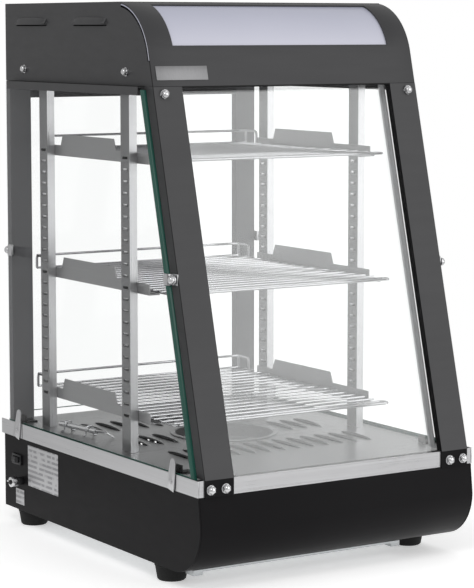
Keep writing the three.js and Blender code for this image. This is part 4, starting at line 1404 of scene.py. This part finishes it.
# ---- Frame and glass ----
@dataclass
class FrameUnit:
    """Posts, rail, glass with its channels, and the nuts that hold them."""

    layout: Layout
    looks: Finishes
    nut_size: float = 8.4 * MM
    sill_line: float = 1.4 * MM
    rim_setback: float = 18.5 * MM
    seam: float = 1.3 * MM
    foot_nut_insets: tuple[float, float] = (24.5 * MM, 6.5 * MM)
    foot_nut_level: float = 112.5 * MM
    head_nut_inset: float = 12 * MM
    head_nut_level: float = 514 * MM
    clamp_level: float = 324 * MM
    clamp_plate: float = 1.2 * MM
    clamp_half: float = 6 * MM
    retainer_inset: float = 33 * MM
    retainer_foot: float = 124 * MM
    angle_sheet: float = 1.6 * MM

    def pane(
        self,
        node: str,
        pane: bpy.types.Material,
        edge: bpy.types.Material,
        axis: str,
        body: Body,
    ) -> None:
        """Gives a pane ground edges.

        Args:
            node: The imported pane.
            pane: The finish of its two faces.
            edge: The finish of its edges.
            axis: x for a side pane and y for one that faces front or rear.
            body: The body that carries it.
        """
        bm = merged(node)
        soften(bm, 0.5 * MM, 1)
        bmesh.ops.recalc_face_normals(bm, faces=bm.faces[:])
        for face in bm.faces:
            face.material_index = int(abs(getattr(face.normal, axis)) <= SQUARE)
        publish(node + "_ground", bm, [pane, edge], body, [node])

    def side_pane(self, side: Side) -> None:
        """Gives a side pane its green front rim and a dark line above the band.

        Args:
            side: The side of the case.
        """
        node = f"side_glass_{side.name.lower()}"
        bm = merged(node)
        soften(bm, 0.5 * MM, 1)
        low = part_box("band_left")[1].z + self.sill_line
        rim = self.layout.post_front(low) + self.rim_setback
        cut(bm, (0.0, 0.0, low), (0.0, 0.0, 1.0))
        cut(bm, (0.0, rim, low), (0.0, 1.0, -self.layout.lean))
        bmesh.ops.recalc_face_normals(bm, faces=bm.faces[:])
        for face in bm.faces:
            at = face.calc_center_median()
            outer = face.normal.x * side.value > 0.3
            in_rim = at.y < rim + self.layout.lean * (at.z - low)
            face.material_index = int(in_rim and (outer or face.normal.y < -0.3)) or int(
                outer and at.z < low
            )
        looks = [self.looks.side_pane, self.looks.edge]
        publish(node + "_ground", bm, looks, Body.CASE, [node])

    def nuts(self) -> None:
        """Puts domed nuts on the posts' feet and heads."""
        layout = self.layout
        bm = bmesh.new()
        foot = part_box("front_post_left")[0].y
        out = Vector((0.0, -1.0, -layout.lean)).normalized()
        for side in Side:
            for inset in self.foot_nut_insets:
                seat_point = (layout.side_x(side, inset), foot, self.foot_nut_level)
                acorn_nut(bm, seat_point, (0, -1, 0), self.nut_size)
            z = self.head_nut_level
            at = (layout.side_x(side, self.head_nut_inset), layout.post_front(z), z)
            acorn_nut(bm, at, out, self.nut_size)
        publish("post_nuts", bm, [self.looks.nut], Body.CASE)

    def glass_clamps(self) -> None:
        """Clamps each side pane to its posts at half height."""
        layout = self.layout
        nuts, clamps = bmesh.new(), bmesh.new()
        z, plate, half = self.clamp_level, self.clamp_plate, self.clamp_half
        for side in Side:
            s = side.value
            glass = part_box(f"side_glass_{side.name.lower()}")
            face = (glass[0].x if s < 0 else glass[1].x) + s * 0.2 * MM
            post = layout.side_x(side)
            for y, back in ((layout.post_front(z) + 6 * MM, 1), (layout.rear - 10 * MM, -1)):
                steps = (
                    ((post, post + s * plate), (y - back * 5 * MM, y + back * 5 * MM)),
                    ((post, face + s * plate), (y + back * 3.8 * MM, y + back * 5 * MM)),
                    ((face, face + s * plate), (y + back * 3.8 * MM, y + back * 13 * MM)),
                )
                for across, along in steps:
                    (x0, x1), (y0, y1) = sorted(across), sorted(along)
                    block(clamps, (x0, y0, z - half), (x1, y1, z + half))
                rod(nuts, [Vector((post, y, z)), Vector((post + s * 4 * MM, y, z))], 2 * MM, 12)
                acorn_nut(nuts, (post + s * 3 * MM, y, z), (s, 0, 0), self.nut_size)
        soften(clamps, 0.3 * MM)
        publish("glass_clamps", clamps, [self.looks.steel_z], Body.CASE)
        publish("clamp_nuts", nuts, [self.looks.nut], Body.CASE)

    def front_post(self, node: str) -> None:
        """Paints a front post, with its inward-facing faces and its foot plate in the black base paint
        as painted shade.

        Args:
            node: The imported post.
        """
        bm = merged(node)
        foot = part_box("band_front")[1].z
        cut(bm, (0.0, 0.0, foot), (0.0, 0.0, 1.0))
        # Faces towards the middle and the foot plate below the band's top take the black base paint:
        # painted shade.
        for face in bm.faces:
            at = face.calc_center_median()
            inwards = math.copysign(1.0, self.layout.centre_x - at.x)
            face.material_index = int(face.normal.x * inwards > SQUARE or at.z < foot)
        soften(bm, 0.6 * MM, 3)
        looks = [self.looks.post, self.looks.base]
        publish(
            node + "_finished", bm, looks, Body.CASE, [node], flat_from=FLAT_FROM
        )

    def seams(self) -> None:
        """Runs a black sealing line down the posts' and the hood's front corners, and a black strip
        along each glass channel under the hood's side as a painted shadow line.
        """
        layout = self.layout
        low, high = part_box("band_left")[1].z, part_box("light_diffuser")[0].z
        bm = bmesh.new()
        for side in Side:
            s = side.value
            x0, x1 = sorted(layout.side_x(side, inset) for inset in (0.4 * MM, -0.15 * MM))
            for vert in block(bm, (x0, 0.4 * MM, low), (x1, 0.4 * MM + self.seam, high)):
                vert.co.y += layout.post_front(vert.co.z)
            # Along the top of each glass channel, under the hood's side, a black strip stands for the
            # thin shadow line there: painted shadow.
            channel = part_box(f"glass_channel_{side.name.lower()}")
            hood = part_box(f"hood_side_{side.name.lower()}")
            outer = (channel[0].x if s < 0 else channel[1].x) - s * 0.4 * MM
            x0, x1 = sorted((layout.side_x(side, 3 * MM), outer))
            low_corner = (x0, channel[0].y, channel[1].z - 0.2 * MM)
            block(bm, low_corner, (x1, channel[1].y, hood[0].z + 0.3 * MM))
        bmesh.ops.recalc_face_normals(bm, faces=bm.faces[:])
        soften(bm, 0.1 * MM, 1)
        publish("corner_seals_and_shadow_lines", bm, [self.looks.rubber], Body.CASE)

    def retainers(self) -> None:
        """Runs a strip up behind each edge of the front glass, in black on the left as painted shade and
        in pale seal on the right.
        """
        layout = self.layout
        low, high = self.retainer_foot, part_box("front_glass")[1].z
        # The left strip takes the black base paint as painted shade; the right one is pale seal.
        finishes = {Side.LEFT: self.looks.base, Side.RIGHT: self.looks.seal}
        for side, finish in finishes.items():
            x = layout.side_x(side, self.retainer_inset)
            x0, x1 = sorted((x, x + side.value * 1.4 * MM))
            bm = bmesh.new()
            for vert in block(bm, (x0, 0, low), (x1, 11 * MM, high)):
                vert.co.y += layout.post_front(vert.co.z) + 15 * MM
            bmesh.ops.recalc_face_normals(bm, faces=bm.faces[:])
            soften(bm, 0.3 * MM)
            name = f"glass_retainer_{side.name.lower()}"
            publish(name, bm, [finish], Body.CASE)

    def foot_blocks(self) -> None:
        """Bolts a small black angle to the deck at the foot of each post."""
        layout = self.layout
        bm = bmesh.new()
        top, sheet = layout.deck_top, self.angle_sheet
        for side in Side:
            x0, x1 = sorted(layout.side_x(side, inset) for inset in (19 * MM, 3 * MM))
            for y0 in (-171 * MM, 187 * MM):
                y = layout.centre_y + y0
                block(bm, (x0, y, top), (x1, y + 12 * MM, top + sheet))
                block(bm, (x0, y, top), (x0 + sheet, y + 12 * MM, top + 9 * MM))
        soften(bm, 0.4 * MM)
        publish("post_angles", bm, [self.looks.base], Body.CASE)

    def build(self) -> None:
        """Builds the frame."""
        looks = self.looks
        for side in ("left", "right"):
            self.front_post(f"front_post_{side}")
            refined(f"rear_post_{side}", looks.rear_post, Body.CASE, 0.5, 3)
            refined(f"glass_channel_{side}", looks.post, Body.CASE, 0.3)
        refined("rear_top_rail", looks.post, Body.CASE, 0.5, 3)
        self.pane("front_glass", looks.front_pane, looks.base, "y", Body.CASE)
        for side in Side:
            self.side_pane(side)
        self.seams()
        self.nuts()
        self.glass_clamps()
        self.retainers()
        self.foot_blocks()


# ---- Shelves ----
@dataclass
class ShelfUnit:
    """Slotted uprights, shelf brackets and wire racks."""

    looks: Finishes
    wire: float = 1.5 * MM
    thin_wire: float = 1.35 * MM
    pitch: float = 18 * MM
    loop: float = 12 * MM
    guard_depth: float = 24 * MM
    side_inset: float = 8.5 * MM
    ring_end: float = 30 * MM
    back_rod_inset: float = 20 * MM

    def rack(self, shelf: str) -> None:
        """Welds one rack from round wire.

        Args:
            shelf: The shelf's name.
        """
        low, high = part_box(f"rack_{shelf}")
        bm = bmesh.new()
        level = low.z + 2.6 * self.wire
        x0, x1 = low.x + self.wire, high.x - self.wire
        front, rear = low.y + self.wire, high.y - self.wire
        first = front + self.loop
        corners = (
            (x0 + self.ring_end, first),
            (x0, first),
            (x0, front),
            (x1, front),
            (x1, first),
            (x1 - self.ring_end, first),
        )
        ring = [Vector((x, y, level)) for x, y in corners]
        rod(bm, rounded_path(ring, self.loop / 2 - 0.2 * MM, 6), self.wire)
        inset = self.loop / 2 + self.back_rod_inset
        rod(bm, [Vector((x, first, level)) for x in (x1 - inset, x0 + inset)], self.wire)
        count = round((rear - first) / self.pitch)
        step = (rear - first) / count
        for i in range(1, count + 1):
            y = first + i * step
            rod(bm, [Vector((x0, y, level)), Vector((x1, y, level))], self.thin_wire, 8)
        for x in (low.x + self.side_inset, high.x - self.side_inset):
            path = [Vector((x, y, low.z + self.wire)) for y in (first - self.wire, rear)]
            rod(bm, path, self.wire)
        top = high.z - self.wire
        for x in (x0, x1):
            corners = ((rear - self.guard_depth, level), (rear - self.guard_depth, top))
            arch = [Vector((x, y, z)) for y, z in (*corners, (rear, top), (rear, level))]
            rod(bm, rounded_path(arch, 5 * MM, 5), self.wire)
        rod(bm, [Vector((x0, rear, top)), Vector((x1, rear, top))], self.wire)
        publish(
            f"rack_{shelf}_wires",
            bm,
            [self.looks.wire],
            f"rack_{shelf}_body",
            [f"rack_{shelf}"],
        )

    def upright(self, node: str) -> None:
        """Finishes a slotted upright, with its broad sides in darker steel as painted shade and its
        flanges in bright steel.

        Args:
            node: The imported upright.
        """
        bm = merged(node)
        # Faces square to X take the darker steel as painted shade; the flanges keep the bright steel.
        for face in bm.faces:
            face.material_index = int(abs(face.normal.x) > SQUARE)
        looks = [self.looks.steel_z, self.looks.steel_dull]
        publish(
            node + "_finished", bm, looks, Body.CASE, [node], flat_from=FLAT_FROM
        )

    def build(self) -> None:
        """Builds the shelves."""
        for side in ("left", "right"):
            for end in ("front", "rear"):
                self.upright(f"upright_{end}_{side}")
            for shelf in ("lower", "middle", "top"):
                node = f"bracket_{shelf}_{side}"
                refined(node, self.looks.bracket, Body.CASE, 0.3)
        for shelf in ("lower", "middle", "top"):
            self.rack(shelf)


# ---- Hood ----
@dataclass
class HoodUnit:
    """The hood with its rounded front, light panel and lamp."""

    layout: Layout
    looks: Finishes
    sheet: float = 1.5 * MM
    acrylic: float = 1.3 * MM
    window_sill: float = 43 * MM
    window_half: float = 138.5 * MM
    vent_drop: float = 23 * MM
    vent_length: float = 75 * MM
    vent_rear_insets: tuple[float, float] = (66 * MM, 205 * MM)
    nut_size: float = 7.6 * MM
    nut_places: tuple[tuple[float, float], ...] = (
        (173 * MM, 535.5 * MM),
        (-63.5 * MM, 536 * MM),
    )
    badge_x: float = -132.5 * MM
    badge_level: float = 535.3 * MM
    badge_half: tuple[float, float] = (31.5 * MM, 7.6 * MM)

    def curve(self, inset: float, z0: float, sill: float | None) -> SheetBender:
        """The hood's front line as a profile.

        Args:
            inset: How far inside the outer face it runs.
            z0: The level where it starts.
            sill: A level where the line has a break, for a window's lower edge.

        Returns:
            The profile, ready to be drawn out.
        """
        layout = self.layout
        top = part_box("hood_top")[1].z
        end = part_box("hood_front_cover")[1].y
        centre = (end + layout.cover_short, top - layout.hood_radius)
        radius = layout.hood_radius - inset
        secant = math.hypot(1.0, layout.lean)
        slope = math.degrees(math.atan(layout.lean))
        tangent_z = centre[1] + radius * math.sin(math.radians(slope))
        levels = [z0, tangent_z]
        if sill is not None:
            levels.insert(1, min(sill, tangent_z - 0.5 * MM))
        places = [(layout.post_front(z) + inset * secant, z) for z in levels]
        sheet = SheetBender().start(*places[0])
        for place in places[1:]:
            sheet.run_to(*place)
        last = math.degrees(math.asin(min(1.0, layout.cover_short / radius)))
        sheet.bend(centre[0], centre[1], -(90 - slope - last), 22)
        return sheet

    def cover(self) -> None:
        """Rolls the front cover with its window."""
        low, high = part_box("hood_front_cover")
        sill = low.z + self.window_sill
        head = high.z - 2.4 * MM
        centre = self.layout.centre_x
        sheet = self.curve(0.0, low.z, sill)
        sheet.across(low.x, centre - self.window_half, centre + self.window_half, high.x)
        sheet.window(centre - self.window_half, centre + self.window_half, sill, head)
        bm = sheet.thicken(self.sheet, (centre, high.y + 40 * MM, low.z + 10 * MM))
        soften(bm, 0.4 * MM, 2, 50.0)
        publish(
            "hood_cover_rolled",
            bm,
            [self.looks.hood],
            Body.CASE,
            ["hood_front_cover"],
        )

    def diffuser(self) -> None:
        """Bends the acrylic light panel behind the window."""
        low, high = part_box("light_diffuser")
        sheet = self.curve(self.sheet + 0.3 * MM, low.z, None).across(low.x, high.x)
        bm = sheet.thicken(self.acrylic, (0.0, high.y + 40 * MM, low.z))
        soften(bm, 0.3 * MM, 2, 50.0)
        publish(
            "light_panel", bm, [self.looks.acrylic], Body.CASE, ["light_diffuser"]
        )

    def badge(self) -> None:
        """Fixes a blank plate to the hood's front at the left."""
        layout = self.layout
        z = self.badge_level
        half_width, half_height = self.badge_half
        bm = bmesh.new()
        low = (-half_width, -0.4 * MM, -half_height)
        block(bm, low, (half_width, 0.5 * MM, half_height))
        soften(bm, 0.3 * MM)
        tilt = Matrix.Rotation(-math.atan(layout.lean), 4, "X")
        at = (layout.centre_x + self.badge_x, layout.post_front(z) - 0.5 * MM, z)
        place = Matrix.Translation(at) @ tilt
        bmesh.ops.transform(bm, matrix=place, verts=bm.verts)
        publish("blank_badge", bm, [self.looks.steel_dull], Body.CASE)

    def lamp(self) -> None:
        """Turns the lamp tube, its caps and its holders."""
        low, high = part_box("lamp_tube")
        y, z = (low.y + high.y) / 2, (low.z + high.z) / 2
        radius = (high.z - low.z) / 2
        bm = bmesh.new()
        length = high.x - low.x
        cap, wall = radius - 1 * MM, radius - 0.5 * MM
        profile = [(0, 0), (cap, 0), (wall, 2 * MM), (wall, length - 2 * MM), (cap, length), (0, length)]
        spun(bm, profile, 24, facing((1, 0, 0), (low.x, y, z)))
        publish("lamp_glass_tube", bm, [self.looks.lamp], Body.CASE, ["lamp_tube"])
        holders = bmesh.new()
        for x, s in ((low.x, -1), (high.x, 1)):
            x0, x1 = sorted((x - s * 2 * MM, x + s * 12 * MM))
            block(holders, (x0, y - 10 * MM, z - 10 * MM), (x1, y + 10 * MM, z + 14 * MM))
        soften(holders, 2 * MM, 3)
        publish("lamp_holders", holders, [self.looks.plastic], Body.CASE)

    def louvres(self) -> None:
        """Presses a soft lip over each vent slit in the hood's sides."""
        layout = self.layout
        bm = bmesh.new()
        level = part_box("hood_top")[1].z - self.vent_drop
        for side in Side:
            x = layout.side_x(side, 0.4 * MM)
            for inset in self.vent_rear_insets:
                lip = bmesh.new()
                bmesh.ops.create_uvsphere(lip, u_segments=24, v_segments=12, radius=1.0)
                for vert in lip.verts:
                    vert.co.y = math.copysign(abs(vert.co.y) ** 0.45, vert.co.y)
                size = (3.6 * MM, self.vent_length / 2 + 1 * MM, 7.5 * MM)
                bmesh.ops.scale(lip, vec=size, verts=lip.verts)
                cut(lip, (0, 0, -1.3 * MM), (0, 0, -1), clear=True)
                bmesh.ops.translate(lip, verts=lip.verts, vec=(x, layout.rear - inset, level))
                absorb(bm, lip)
        publish("hood_louvres", bm, [self.looks.hood], Body.CASE)

    def lower_seal(self) -> None:
        """Runs a black line under the front cover between the posts."""
        layout = self.layout
        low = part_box("hood_front_cover")[0]
        y = layout.post_front(low.z)
        half = layout.half_width - 34 * MM
        bm = bmesh.new()
        corner = (layout.centre_x - half, y + 0.6 * MM, low.z - 1.6 * MM)
        block(bm, corner, (layout.centre_x + half, y + 3 * MM, low.z + 0.2 * MM))
        soften(bm, 0.2 * MM)
        publish("cover_lower_seal", bm, [self.looks.rubber], Body.CASE)

    def nuts(self) -> None:
        """Puts two domed nuts on each side of the hood."""
        layout = self.layout
        bm = bmesh.new()
        for side in Side:
            for y, z in self.nut_places:
                at = (layout.side_x(side), layout.centre_y + y, z)
                acorn_nut(bm, at, (side.value, 0, 0), self.nut_size)
        publish("hood_nuts", bm, [self.looks.nut], Body.CASE)

    def build(self) -> None:
        """Builds the hood."""
        looks = self.looks
        for side in ("left", "right"):
            refined(f"hood_side_{side}", looks.hood, Body.CASE, 0.35)
        refined("hood_top", looks.hood, Body.CASE, 0.5, 3)
        refined("hood_floor", looks.steel_x, Body.CASE, 0.3)
        self.cover()
        self.diffuser()
        self.badge()
        self.lamp()
        self.louvres()
        self.lower_seal()
        self.nuts()


# ---- Rear door, controls and small moving parts ----
@dataclass
class Fittings:
    """The rear door, the controls and the turn buttons."""

    looks: Finishes
    frame_unit: FrameUnit

    def door(self) -> None:
        """Builds the rear door."""
        looks = self.looks
        self.frame_unit.pane("rear_door_glass", looks.side_pane, looks.edge, "y", Body.DOOR)
        refined("rear_door_hinge", looks.steel_z, Body.DOOR, 0.4)
        refined("rear_door_handle", looks.plastic, Body.DOOR, 2.0, 4)

    def controls(self) -> None:
        """Builds the switch, the earth terminal, the knob and what is behind them."""
        looks = self.looks
        refined("switch_frame", looks.plastic, Body.CASE, 0.3)
        refined("switch_rocker", looks.plastic, Body.ROCKER, 0.5, 3)
        refined("earth_terminal", looks.plastic, Body.CASE, 0.3)
        refined("wing_nut", looks.nut, Body.WING_NUT, 0.3)
        refined("thermostat_knob", looks.plastic, Body.KNOB, 0.6, 3)
        refined("thermostat_body", looks.zinc, Body.CASE, 0.5)
        refined("cable_gland", looks.plastic, Body.CASE, 0.4)
        refined("heating_element", looks.element, Body.CASE, 0.0)

    def buttons(self) -> None:
        """Builds the four turn buttons."""
        for end in ("front", "rear"):
            for side in ("left", "right"):
                node = f"turn_button_{end}_{side}"
                refined(node, self.looks.steel_z, node + "_body", 0.3)

    def build(self) -> None:
        """Builds the fittings."""
        self.door()
        self.controls()
        self.buttons()


def main() -> None:
    """Builds the studio and the case."""
    logging.basicConfig(level=logging.INFO)
    layout = Layout()
    looks = Finishes.make()
    Studio(layout).build()
    BaseUnit(layout, looks).build()
    frame_unit = FrameUnit(layout, looks)
    frame_unit.build()
    ShelfUnit(looks).build()
    HoodUnit(layout, looks).build()
    Fittings(looks, frame_unit).build()


if __name__ == "__main__":
    main()
